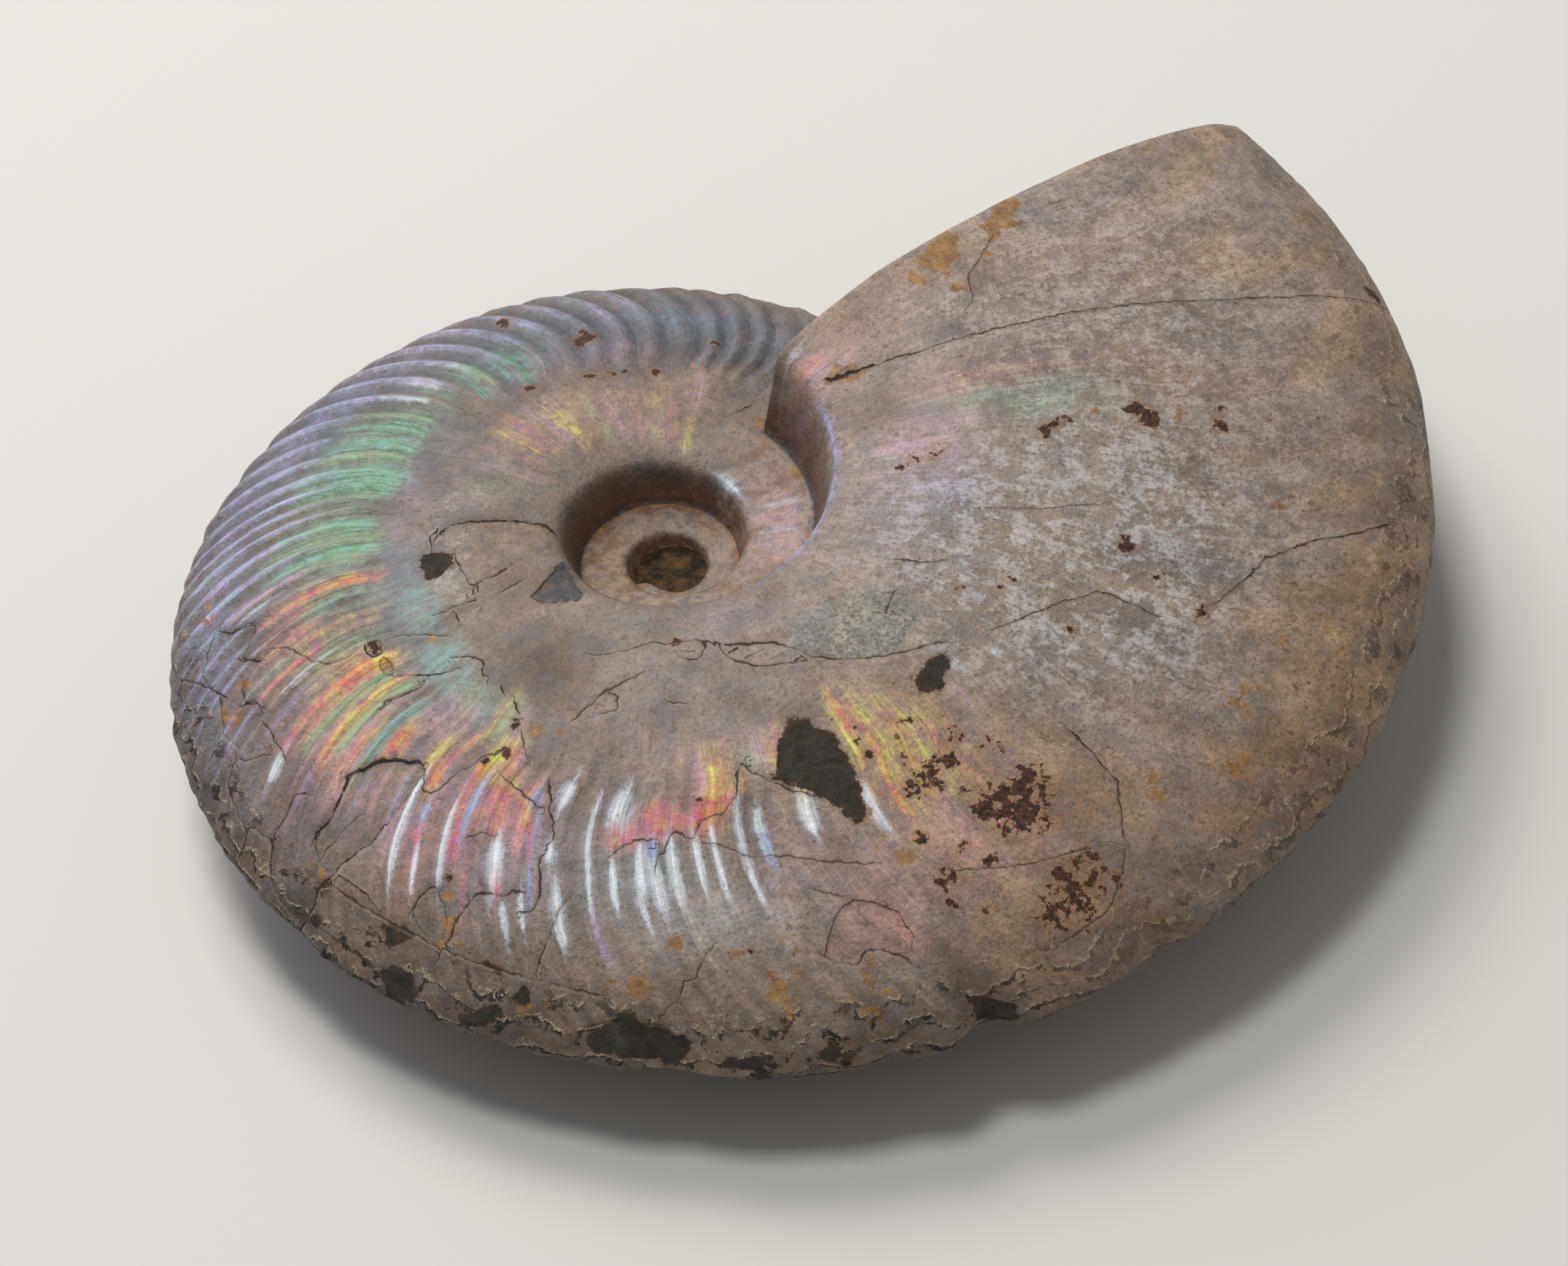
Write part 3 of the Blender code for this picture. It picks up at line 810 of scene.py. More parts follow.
def painted_ground(growth, share, cloud, band):
    """The tints, with warm and cool clouds over them and faint bands along the ribs."""
    colour = np.tile(linear(SHELL_DULL), (len(growth), 1))
    for *place, tint, strength in TINTS:
        colour = laid_over(colour, tint, strength * oval(growth, share, *place) ** 1.2)
    outside = blend(0.5, 0.7, share) * blend(-125, -95, growth)
    cool = 0.10 + 0.12 * blend(-120, -90, growth) * (1 - 0.9 * blend(0.78, 0.9, share))
    for tint, weight in (("#a58767", 0.36 * blend(0.52, 0.75, cloud)),
                         ("#858188", cool * blend(0.48, 0.25, cloud)),
                         ("#a88a66", 0.50 * outside * blend(0.52, 0.70, band)),
                         ("#8b8078", 0.45 * outside * blend(0.45, 0.30, band))):
        colour = laid_over(colour, tint, weight)
    return colour


# %% Paint the ground
cloud = smooth_noise(coil_points, 11.0, 4)
patch = smooth_noise(coil_points + 30, 3.2, 4)
mottled = 0.5 * patch + 0.5 * smooth_noise(coil_points + 50, 1.0, 2)
line = growth - lean(share)
radius = radius_at(growth) * share
band = smooth_noise(np.stack([line * 0.17, share * 3.5, height * 8], axis=1), 1.0, 3)
bend = noise_at(coil_points + 70, 5.0, 3)
other_bend = np.roll(bend, 7)  # another vertex's bend, so that growth and share don't bend as one
ground = painted_ground(growth + 2.5 * bend, share + 0.02 * other_bend, cloud, band)
brightness = np.interp(growth, *BRIGHTNESS)
for *place, lighter in SHADES:
    brightness *= 1 + lighter * oval(growth, share, *place)
# Painted shade: the ground is darker in the valleys between the ribs, by how deep they are.
painted_valley_shade = np.clip(-rib_relief(growth, share) / 0.12, 0, 1)
ground *= (brightness * (1 - 0.30 * painted_valley_shade) * (0.70 + 0.60 * patch))[:, None]
chart_growth = drawn_growth(growth, share, height)
places = chart(chart_growth, share)
bent_places = chart(chart_growth + 0.25 * (patch - 0.5), share)
covers = [most * (1 - blend(-0.10, 0.12, line_distance(bent_places, radius, corners, closed=True)))
          for _, most, _, corners in PLATES]
for (tint, *_), cover in zip(PLATES, covers):
    ground = laid_over(ground, tint, cover, 0.4 + 1.2 * mottled)
print("ground colour, mean linear:", ground.mean(axis=0).round(3))

# %% [markdown]
# ## Nacre
# Mother of pearl shows where the outer layer has gone. Its layers are about as thin as a wavelength
# of light, so it shines green, gold, rose or blue, and the hue follows the ribs. A thin film in the
# shader would change with the camera and be lost on export. So the play of colour is painted: wide
# soft washes first, then streaks along the ribs. A wash is rib line, share, reach in degrees and in
# share, hue, strength. A streak is rib line, from share, to share, half width in mm, hue, strength.
# Most streaks have one width. The pale ones are painted highlights, the gleam of a crest, and narrow at both
# ends.

# %% Hues and washes
# The white hue is a painted highlight on the crests. Blue and periwinkle streaks are painted gleams on the
# crests and fringes of that highlight, and so are the periwinkle washes along the keel of the upper left. The
# other hues are the nacre's own play of colour.
HUES = {
    "mint": "#83bf9f", "green": "#94b982", "teal": "#72b0a6", "yellow": "#e6ca66", "gold": "#e2a652",
    "orange": "#e08a5a", "salmon": "#d68a76", "rose": "#d6707d", "pink": "#cfa0b6", "violet": "#a08cc4",
    "periwinkle": "#9fa9d6", "blue": "#8fb4de", "ice": "#f2f7fc", "slate": "#5d6673", "cream": "#cfbca8",
}
NARROWING = ("ice", "blue", "periwinkle")
WASHES = table("""
    -247 .69 22 .1 mint .36;  -226 .67 12 .08 mint .42;  -262 .7 12 .07 green .22;
    -283 .68 9 .07 teal .32;  -212 .64 8 .07 green .28;  -210 .77 8 .06 salmon .3;
    -204 .61 8 .05 teal .3;  -193 .65 9 .07 gold .26;  -191 .78 9 .07 rose .26;
    -202 .51 13 .035 teal .38;  -186 .53 9 .03 teal .38;  -178 .62 9 .06 pink .22;
    -318 .78 24 .12 blue .16;  -218 .92 26 .05 periwinkle .3;  -252 .9 26 .06 periwinkle .34;
    -166 .7 9 .07 rose .24;  -160 .76 10 .07 violet .16;  -140 .72 14 .08 blue .14;
    -118 .74 9 .1 pink .3;  -104 .62 8 .12 gold .34;  -101 .76 9 .08 salmon .3;  -272 .42 13 .06 gold .16;
    -297 .37 20 .08 salmon .2;  -250 .38 10 .05 green .22;  -309 .46 22 .05 gold .16;
    -29 .42 5 .13 salmon .42;  -34 .46 4 .12 mint .38;  -42 .33 8 .06 pink .5;
    -55 .37 8 .05 periwinkle .34;  -404 .33 26 .1 pink .5;  -8 .24 8 .05 pink .45;
    -60 .3 30 .05 periwinkle .18;  -131 .55 7 .05 gold .24;  -122 .53 6 .04 pink .26;
    -142.5 .665 2.2 .022 rose .9;  -138 .645 3 .028 salmon .9;  -133.5 .64 2.6 .03 rose .85;
    -130.5 .61 2.4 .035 orange .95;  -132 .56 2.4 .03 salmon .8;  -128.5 .575 2.2 .03 gold .9;
    -125 .545 2.4 .025 green .6;  -161.5 .645 3.2 .035 orange .7;  -160.5 .69 3 .03 salmon .75;
    -156.5 .66 2.6 .04 rose .75;  -156 .7 2.6 .03 violet .6;  -164.5 .72 2.2 .05 rose .6;
    -211 .73 8 .07 salmon .55;  -204 .7 6 .07 green .5;  -197 .66 6 .07 gold .5;  -191 .74 6 .07 rose .5;
    -183 .76 7 .06 pink .5;  -173 .77 6 .05 rose .4;  -240 .55 20 .04 violet .14;
    -300 .62 22 .06 violet .18;  -145 .5 14 .05 pink .12
""")
print(len(WASHES), "washes")

# %% Streaks
STREAKS = [
    # upper left, from the mouth's foot down to the left
    *table("""
    -351 .62 .96 1.6 slate .3;  -345 .62 .96 1.4 slate .35;  -326 .4 .56 .5 pink .35;
    -325 .26 .36 .5 yellow .55;  -318 .27 .4 .5 orange .35;  -312 .28 .44 .5 yellow .35;
    -304 .28 .42 .5 salmon .45;  -297 .3 .48 .5 pink .35;  -291 .28 .46 .4 green .35;
    -281 .3 .5 .7 yellow .55;  -276 .34 .5 .5 pink .45;  -270 .34 .5 .6 orange .45;
    -265 .34 .47 .6 gold .6;  -259 .32 .46 .6 salmon .4;  -252 .3 .44 .8 pink .3;
    -283.5 .58 .75 .55 mint .75;  -280.6 .62 .74 .4 teal .6;  -276.5 .62 .77 .6 green .8;
    -273.5 .6 .75 .45 mint .6;  -271 .66 .8 .3 pink .55;  -270 .7 .8 .3 ice .6;
    -266.5 .66 .82 .35 salmon .45;  -265.3 .68 .82 .3 ice .75;  -260.5 .62 .8 .6 green .7;
    -257.5 .62 .82 .7 mint .8;  -252.5 .6 .8 .8 mint .8;  -249 .6 .8 .5 green .75;
    -245 .58 .82 .9 mint .85;  -241.5 .58 .8 1 mint .85;  -238.5 .6 .78 .6 green .6;
    -235 .66 .8 .3 cream .4;  -231.2 .6 .8 .8 mint .8;  -227.8 .58 .82 .9 green .8;
    -226.2 .745 .775 .3 violet .7;  -225 .58 .8 .6 mint .8;  -223 .6 .72 .6 green .7;
    -222.4 .72 .86 .3 pink .8;  -221 .76 .86 .25 ice .55;  -219 .6 .7 .3 cream .35
    """),
    # the orange rib and what follows it
    *table("""
    -217.4 .56 .64 .7 gold .75;  -217.4 .62 .73 .55 orange .9;  -217.1 .71 .81 .5 salmon .9;
    -214 .6 .74 .4 mint .55;  -212.6 .66 .72 .6 teal .55;  -211.2 .7 .8 .4 salmon .6;
    -208.6 .58 .72 .5 gold .45;  -208.2 .76 .82 .35 mint .5;  -206.3 .58 .66 .5 salmon .4;
    -206 .71 .84 .4 rose .95;  -203.6 .68 .8 .3 ice .45;  -203.2 .6 .7 .5 green .4;
    -201 .76 .85 .35 violet .6;  -200.2 .7 .78 .25 pink .45
    """),
    # painted highlights: a blue gleam on the crests, all along the upper left
    *[[crest, 0.80, 0.97, 0.26, "periwinkle", 0.75] for crest in CRESTS if -277 < crest < -226],
    *[[crest, 0.82, 0.955, 0.20, "periwinkle", 0.85] for crest in CRESTS
      if -224 < crest < -205 and crest != -211],
    *[[crest, 0.74, 0.93, 0.30, "blue", 0.30] for crest in CRESTS if -301 < crest < -281],
    # the brightest part of the nacre
    *table("""
    -197 .575 .625 .95 yellow 1;  -197 .61 .67 .85 gold 1;  -197 .65 .75 .5 orange .95;
    -196.9 .72 .8 .45 salmon .9;  -196.9 .785 .845 .5 rose 1;  -196.6 .835 .885 .55 ice 1;
    -195 .63 .8 .45 salmon .7;  -193.3 .6 .8 .6 green .8;  -192.3 .76 .84 .35 pink .55;
    -191.2 .58 .66 .45 gold .8;  -190.7 .64 .76 .5 yellow 1;  -190.3 .72 .8 .4 orange .9;
    -190.5 .8 .88 .4 violet .6;  -188.9 .58 .76 .6 green .85;  -187.4 .62 .72 .35 pink .65;
    -186.5 .69 .79 .5 salmon .9;  -185.9 .68 .75 .22 yellow .8;  -184.1 .6 .73 .7 teal .9;
    -184.2 .72 .78 .4 green .7;  -181.9 .63 .705 .7 orange .95;  -180.4 .64 .69 .6 gold .8;
    -180.2 .55 .63 1 pink .5;  -178.2 .5 .56 1.2 green .45;  -182.6 .5 .56 .8 teal .45;
    -176 .54 .62 .9 pink .45;  -174.6 .61 .69 .6 yellow .9;  -173 .63 .72 .6 salmon .85;
    -172.4 .67 .7 .7 gold .95;  -171.6 .57 .66 .4 orange .8;  -170.4 .49 .58 .8 yellow .6;
    -168.6 .5 .57 .8 green .5;  -173.2 .51 .57 .7 teal .45;  -188.8 .48 .55 1.2 teal .65;
    -191.6 .52 .57 .8 teal .45;  -200.5 .48 .53 1 teal .5;  -207.5 .49 .53 1.2 teal .45;
    -182.5 .74 .84 .32 periwinkle .9;  -176.5 .7 .8 .32 periwinkle .9;  -179.2 .72 .79 .45 salmon .35
    """),
    # white painted highlights on the crests at the bottom, with rose and gold nacre between them
    *table("""
    -174.1 .68 .87 .38 ice 1;  -171.2 .74 .85 .38 rose .9;  -170.9 .79 .87 .25 ice .9;
    -171.4 .72 .76 .45 blue .9;  -175.6 .78 .84 .35 pink .5;  -172.6 .85 .89 .4 salmon .5;
    -167.4 .7 .84 .35 ice .95;  -166.2 .62 .71 .7 salmon .95;  -165.9 .72 .785 .65 rose .95;
    -165.2 .63 .76 .4 blue .85;  -166.8 .59 .645 .6 gold 1;  -165 .565 .615 1.1 yellow 1;
    -163.1 .59 .66 .5 salmon .85;  -164 .79 .86 .3 rose .7;  -166.2 .52 .565 .7 pink .45;
    -160.9 .62 .72 .7 salmon .55;  -159.9 .725 .805 .72 ice 1;  -159.4 .785 .815 .5 rose .75;
    -158.6 .81 .87 .35 ice .9;  -160.6 .81 .83 .35 ice .8;  -157.2 .62 .74 .45 salmon .85;
    -156.4 .62 .66 .45 blue .8;  -156.3 .67 .7 .35 gold .85;  -155.1 .65 .81 .32 blue .9;
    -155.4 .68 .75 .3 rose .8;  -156.2 .79 .85 .3 ice 1;  -152.6 .59 .645 .55 ice 1;
    -152.6 .7 .74 .55 ice .8;  -151.7 .765 .86 .55 ice 1;  -147.4 .6 .82 .26 ice 1;
    -147.2 .81 .87 .4 violet .65;  -144.2 .7 .79 .36 ice 1;  -143.9 .59 .672 .85 ice 1;
    -144 .658 .695 .55 salmon 1;  -141.8 .648 .67 .6 salmon .8;  -141.2 .72 .82 .3 ice 1;
    -140.4 .68 .76 .55 ice 1;  -138.8 .7 .79 .6 ice 1;  -139 .665 .7 .6 blue .9;
    -139.3 .61 .66 .9 salmon .95;  -137.3 .61 .66 .6 rose .8;  -136.5 .66 .78 .5 ice 1;
    -136.3 .76 .86 .35 cream .6;  -133.1 .645 .76 .36 ice 1;  -130.8 .645 .77 .32 ice 1;
    -131 .585 .645 1.05 gold 1;  -132.6 .6 .66 .4 orange .95;  -128.8 .57 .605 .7 rose .85;
    -131.2 .52 .585 .8 yellow .7;  -129 .52 .58 .6 salmon .65;  -132.8 .53 .6 .5 pink .6;
    -127.3 .6 .78 .3 ice .95;  -124.5 .62 .71 .45 ice .85;  -124.3 .66 .73 .35 blue .85;
    -123.2 .5 .56 .8 pink .5;  -121.2 .51 .57 .5 yellow .75;  -119.4 .49 .54 .5 orange .6;
    -117.9 .6 .68 .7 ice 1;  -118 .595 .618 .5 yellow 1;  -109.9 .62 .71 .45 ice .9;
    -109.2 .48 .6 .45 yellow .95;  -108.2 .46 .56 .4 orange .85;  -116.6 .79 .87 1.6 salmon .45
    """),
    # the last gold, towards the living chamber
    *table("""
    -106.4 .48 .7 .45 gold .85;  -104.8 .5 .7 .35 yellow .8;  -102.6 .5 .68 .45 gold .7;
    -100.6 .52 .68 .4 yellow .6;  -98.4 .52 .66 .45 orange .55;  -96 .55 .66 .45 salmon .45;
    -103.5 .7 .84 1.3 pink .35;  -97 .66 .8 1.4 salmon .3;  -91.5 .5 .6 .35 pink .55;
    -88.5 .48 .56 .35 ice .5
    """),
    # faint rose and green on the inner flank of the chamber, and the rim of the umbilicus; the white streaks
    # here are painted highlights
    *table("""
    -37 .3 .42 .55 pink .35;  -33 .36 .54 .55 teal .26;  -29 .38 .56 .5 salmon .25;
    -42 .28 .36 .6 pink .35;  1 .222 .234 .3 ice .9;  -5.4 .222 .258 .65 salmon .8;
    -8.5 .222 .25 .4 pink .7;  -382 .27 .38 .25 salmon .6;  -388 .26 .39 .3 ice .4;
    -394 .25 .37 .35 pink .55;  -399 .27 .38 .25 salmon .6;  -405 .25 .36 .3 ice .25;
    -410 .26 .37 .25 gold .35;  -415 .25 .37 .3 pink .5;  -425 .26 .36 .35 salmon .4;
    -374 .28 .38 .3 salmon .45;  -353 .222 .242 .8 ice .95;  -360 .216 .238 .9 ice 1;
    -368 .222 .24 .6 ice .8;  -76 .465 .495 .28 ice .8;  -83 .545 .57 .3 ice .85;
    -81 .5 .525 .22 salmon .6
    """),
]
print(len(STREAKS), "streaks")


# %% Paint the nacre
def over(hue, strength, new_hue, weight):
    """Paints a new hue over the nacre that is there already."""
    total = weight + strength * (1 - weight)
    part = (weight / np.maximum(total, 1e-6))[:, None]
    return hue * (1 - part) + linear(new_hue) * part, total


def painted_nacre(line, share, height, radius, bend, patch):
    """The hue and the strength of the nacre at every vertex."""
    hue = np.tile(linear(HUES["cream"]), (len(line), 1))
    strength = np.zeros(len(line))
    for *place, name, most in WASHES:
        weight = most * oval(line + 2 * bend, share, *place) * (0.5 + patch)
        hue, strength = over(hue, strength, HUES[name], weight)
    for rib, start, end, half, name, most in STREAKS:
        off = np.abs(np.radians(line - rib + 0.25 * bend)) * radius
        near = (off < half * 1.8) & (share > start - 0.04) & (share < end + 0.04)
        part = np.clip((share[near] - start) / (end - start), 0, 1)
        taper = 0.35 + 0.65 * (4 * part * (1 - part)) ** 0.6 if name in NARROWING else 1.0
        off = off[near] / (half * taper)
        bent_share = share[near] + 0.02 * (patch[near] - 0.5)
        ends = blend(start - 0.03, start + 0.02, bent_share) * (1 - blend(end - 0.02, end + 0.03, bent_share))
        layers_here = [(name, most * (1 - blend(0.15, 1.5, off)))]
        # A white painted highlight gets a fringe of blue painted highlight.
        if name == "ice":
            layers_here.insert(0, ("blue", most * 0.6 * (1 - blend(0.5, 1.7, off))))
        for tint, weight in layers_here:
            hue[near], strength[near] = over(hue[near], strength[near], HUES[tint], weight * ends)
    return hue, strength * np.where(height < 0, 0.75, 1.0)


hue, strength = painted_nacre(line, share, height, radius, bend, patch)
for (_, _, stays, _), cover in zip(PLATES, covers):
    strength = strength * (1 - cover * (1 - stays))
print("nacre on", round(100 * float((strength > 0.4).mean())), "% of the vertices")

# %% [markdown]
# ## Stone, rust and ochre
# Dark matrix still sticks in a few holes and along the keel, rust has grown in branching specks, and
# clay has stained the cracks. The patches of matrix are closed outlines. Rust and ochre are soft
# spots: growth, share, reach in mm and strength. Chalk is a pale bloom on the living chamber and
# round the umbilicus, and is drawn as three ovals. The material breaks them all up with fine noise.

# %% Patches and spots
STONE_PATCHES = [outline(items) for items in table("""
    -216.7 .478  -214 .484  -212 .482  -209.7 .476  -209 .46  -210 .44  -212 .428  -214 .43  -215.5 .445
        -216.4 .46;
    -121 .578  -118.6 .6  -116.4 .618  -115 .635  -112.2 .683  -110.9 .665  -110 .625  -109.8 .575
        -109.6 .54  -110.2 .525  -111.8 .515  -112.2 .5  -113.5 .492  -115 .497  -116.3 .507  -117.5 .52
        -118.6 .53  -119.3 .55  -119.8 .567;
    -94.4 .54  -92.4 .548  -90.6 .546  -90.2 .536  -88 .53  -86.9 .519  -87.2 .505  -89.9 .505  -92 .512
        -93.6 .509;
    -156.5 .985  -155 .965  -153.5 .945  -151.5 .925  -150 .922  -151 .94  -152.5 .955  -154 .98;
    -176.5 .975  -175.6 .966  -174.5 .97  -175 .984;
    -167.8 .925  -166.8 .935  -165.2 .92  -166 .914;
    -148 .93  -147 .936  -146.2 .928  -147 .921;
    -170 .99  -168 .978  -165 .976  -163.5 .985  -165 .997;
    -145 .975  -144 .96  -141 .952  -137 .957  -135.5 .972  -137 .988  -142 .994;
    -133.5 .99  -131 .978  -128.5 .985  -129 .998;
    -126 .988  -123 .976  -120 .984  -121 .998;
    -158.5 .905  -155 .909  -153.2 .915  -156 .918;
    -166.3 .53  -165 .542  -164.3 .512  -165.4 .52;
    -164.2 .812  -163.4 .818  -163.1 .808  -163.8 .8;
    -188.7 .642  -188.2 .648  -187.8 .636  -188.3 .632;
    -201.3 .622  -199.9 .628  -198.5 .615  -199.3 .604  -200.7 .608;
    -23 .99  -22 .975  -20.8 .982  -21.4 .998;
    -109.8 .995  -109 .965  -108 .985  -107 .999
""")]
RUST = table("""
    -95.5 .755 2.6 .9;  -97.5 .735 2 .8;  -92.8 .74 2 .75;  -91.5 .715 1.4 .6;  -96.5 .89 2.6 .8;
    -94 .87 1.8 .75;  -99.5 .905 2 .65;  -93.5 .905 1.5 .6;  -106.4 .8 1.1 .85;  -107.2 .835 .7 .7;
    -106.6 .73 .7 .7;  -105 .86 .8 .7;  -104.4 .664 1.1 .75;  -101.4 .655 1.3 .8;  -98.6 .645 1.2 .75;
    -95.2 .62 .9 .7;  -100.6 .55 .7 .7;  -98.4 .557 .6 .65;  -92.2 .66 1.4 .6;  -103 .615 .6 .7;
    -103.5 .765 .9 .7;  -101.5 .8 .9 .7;  -99 .69 1 .7;  -102 .58 .6 .7;  -106.7 .585 .5 .8;
    -107 .56 .4 .8;  -105.8 .54 .5 .7;  -108.3 .51 .4 .7;  -63 .745 .6 .9;  -72.5 .617 .7 .85;
    -57.5 .62 .85 .95;  -38.4 .718 .7 .95;  -36.6 .722 .6 .85;  -37.6 .628 1.1 1;  -36.2 .61 .9 .95;
    -38 .52 .6 .85;  -39.7 .492 .8 .9;  -38.9 .507 .5 .8;  -71.5 .5 .4 .8;  -69 .507 .4 .8;
    -74.8 .458 .4 .8;  -53.5 .715 .4 .8;  -60.5 .677 .45 .8;  -55 .66 .3 .8;  -43 .345 1.3 .62;
    -45 .325 1 .6;  -47.5 .365 .4 .9;  -47 .31 .4 .8;  -298.5 .7 1.1 .95;  -296.8 .705 .5 .8;
    -325 .67 .6 .7;  -311.7 .523 .45 .9;  -304 .53 .4 .9;  -300.5 .53 .4 .9;  -295 .535 .6 .9;
    -288.5 .86 .8 .9;  -280.5 .555 .5 .9;  -166.7 .613 .4 1;  -164.2 .583 .6 .95;  -132.2 .608 .6 .8;
    -21 .98 .9 1;  -90 .8 1.2 .5;  -144 .31 .5 .6;  -134.5 .309 .6 .9;  -96 .5 .6 .5;  -128.2 .842 .5 .6
""")
OCHRE = table("""
    -2.4 .445 1.3 1;  -1.5 .472 1.35 1;  -3.3 .415 .8 1;  -.3 .492 .9 1;  -.4 .588 1.3 1;
    -1.6 .562 1.1 1;  -3.4 .545 .6 1;  -5.5 .515 .5 .95;  -7.6 .485 .6 1;  -9.5 .463 .5 .95;
    -11.7 .447 .5 .9;  -8.5 .45 .5 .9;  -194.5 .607 .7 .9;  -13.3 .27 .9 1;  -12 .25 .8 .9;  -15 .3 .6 .8;
    -222.6 .905 1.2 .5;  -221 .94 .9 .5;  -211.6 .92 1 .5;  -205 .915 1.3 .5;  -203 .88 .8 .5;
    -208.3 .86 .9 .5;  -207 .84 .7 .5;  -195.6 .9 .6 .7;  -180 .915 1.4 .6;  -177.8 .913 .8 .6;
    -161.4 .875 .8 .9;  -162.4 .84 .6 .8;  -161.2 .91 .7 .8;  -159.4 .9 .6 .7;  -224.6 .29 .6 .6;
    -223 .262 .6 .55;  -219 .238 .6 .5;  -225 .36 .8 .6;  -324 .575 .6 .6;  -321 .575 .5 .6;
    -356 .452 1.3 .8;  -350 .448 1 .7;  -362 .455 1 .8;  -140.2 .885 1.8 .65;  -136.2 .83 .8 .5;
    -112 .72 1.2 .5;  -110 .75 1 .6;  -36.6 .56 1.6 .45;  -36.8 .67 1.6 .5;  -70 .85 3 .45;  -76 .88 3 .5;
    -64 .82 3 .4;  -84 .84 2.5 .4;  -60 .9 3 .4;  -111.6 .672 .7 .9;  -157.5 .52 1 .7;  -160.5 .535 1 .6;
    -193.5 .513 .7 .7;  -127 .9 3 .5;  -118 .93 3 .5;  -150 .93 2 .4;  -46 .8 3 .3
""")
CHALK = table("-62 .55 22 .24 1;  -18 .62 24 .3 .42;  -212 .43 34 .07 .35")
print(len(STONE_PATCHES), "patches of matrix,", len(RUST), "spots of rust,", len(OCHRE), "of ochre")


# %% Where they are on the shell
def spots(places, radius, rows):
    """How strong the nearest spot is at every place."""
    weight = np.zeros(len(places))
    for middle, middle_share, reach, most in rows:
        off = np.linalg.norm(places - chart(middle, middle_share), axis=1) * radius / reach
        weight = np.maximum(weight, most * np.exp(-0.7 * off ** 2))
    return weight


stone = np.min([line_distance(places, radius, corners, closed=True) for corners in STONE_PATCHES], axis=0)
stone = np.minimum(stone, 9.0) + (0.5 + 2.6 * blend(0.9, 0.93, share)) * (patch - 0.5)
living = blend(-95, -85, growth) * (1 - blend(-35, -20, growth))
most_worn = blend(-224, -205, growth) * (1 - blend(-112, -95, growth))
keel_wear = blend(0.89, 0.96, share) * (0.50 + 0.12 * living + 0.50 * most_worn)
rust, ochre = spots(places, radius, RUST), spots(places, radius, OCHRE)
chalk = sum(most * oval(growth, share, *place) for *place, most in CHALK) * (1 - covers[0])
signed, plain, width = crack_fields(bent_places, radius)
edge, _ = flake_fields(bent_places, radius)
print("vertices under matrix:", int((stone < 0).sum()), "with rust:", int((rust > 0.5).sum()))

# %% [markdown]
# ## The seam, the wall and the gleam of the crests
# The wall of the umbilicus is brown. It is painted darker at its foot, with the darkest painted shade along
# the seam. On the inner turns a band of ochre clay lies against the seam. Painted highlights: a pale
# blue-violet gleam along the rim of the last turn, and pale violet on the crests of the upper left.

# %% Paint the seam, the wall and the crests
wall = 0.85 * (1 - blend(0.197, 0.213, share))
ground = laid_over(ground, "#6a4838", wall, 0.65 + 0.7 * patch)
at_seam = np.abs(share - SEAM_SHARE) < 1e-3
at_seam |= (np.abs(share - LANDING_SHARE) < 1e-3) & (growth < LAST_TURN + 10)
# Painted shade: the foot of the wall darkens, and the seam is darkest, in the crease where the whorl meets
# the one before.
painted_seam_shade = np.maximum(0.7 * (1 - blend(0.186, 0.196, share)), 0.9 * at_seam)
ground = laid_over(ground, "#1e150e", painted_seam_shade)
clay_band = blend(0.385, 0.405, share + 0.02 * (patch - 0.5)) * (growth < LAST_TURN - 5) * (share < 0.43)
ochre = np.where(at_seam, 0, np.maximum(ochre, 0.95 * clay_band))
# Painted highlight: a pale blue-violet gleam along the rounded rim of the last turn.
painted_rim_highlight = np.exp(-((share - 0.2195) / 0.0045) ** 2)
painted_rim_highlight *= blend(-112, -95, growth) * (1 - blend(-22, -12, growth))
hue, strength = over(hue, strength, "#bcbcf0", np.clip(1.5 * painted_rim_highlight * (0.3 + patch), 0, 1))
# Painted highlight: pale violet on the rib crests of the upper left.
crest = np.clip(rib_relief(growth, share) / 0.10, 0, 1) * blend(0.66, 0.80, share)
crest *= blend(-325, -295, growth) * (1 - blend(-212, -200, growth))
hue, strength = over(hue, strength, "#bdc0e6", 0.6 * crest * np.clip(1.8 * cloud - 0.2, 0, 1.2))
strength = np.where(at_seam, 0, strength)
print("vertices in the seam:", int(at_seam.sum()))


# %% Keep the fields as attributes of the mesh
def keep(mesh, name, *columns):
    """Writes these numbers, one row for each vertex. Four columns are a colour, three a vector."""
    kind, entry = ("FLOAT_COLOR", "color") if len(columns) == 4 else ("FLOAT_VECTOR", "vector")
    layer = mesh.attributes.new(name, kind, "POINT")
    layer.data.foreach_set(entry, np.stack(columns, axis=1).astype(np.float32).ravel())


ones = np.ones(len(growth))
layer_mm = radius_at(growth) * height + 1.5 * noise_at(coil_points + 11, 6.0, 3)
inner_turns = 1.0 * (growth < LAST_TURN + 8) * ~at_seam
ribbed = blend(0.45, 0.62, share) * (growth < -95)
fields = {
    "ground": (*ground.T, ones), "nacre hue": (*hue.T, ones), "crack": (signed, plain, width),
    "wear": (stone, edge, keel_wear), "stain": (rust, ochre, chalk), "lines": (line, share, height),
    "body": (layer_mm, covers[-1], 0 * ones), "shine": (strength, inner_turns, ribbed),
}
for name, columns in fields.items():
    keep(mesh, name, *columns)
print("attributes:", ", ".join(fields))

# %% [markdown]
# ## A small helper for materials
# Every material below is a tree of shader nodes. One function adds a node, sets it and links it, and
# gives back one of its outputs. Settings that come back again and again have a name of their own.
# The last three nodes are alike in all the materials of the shell, so one function adds them too.

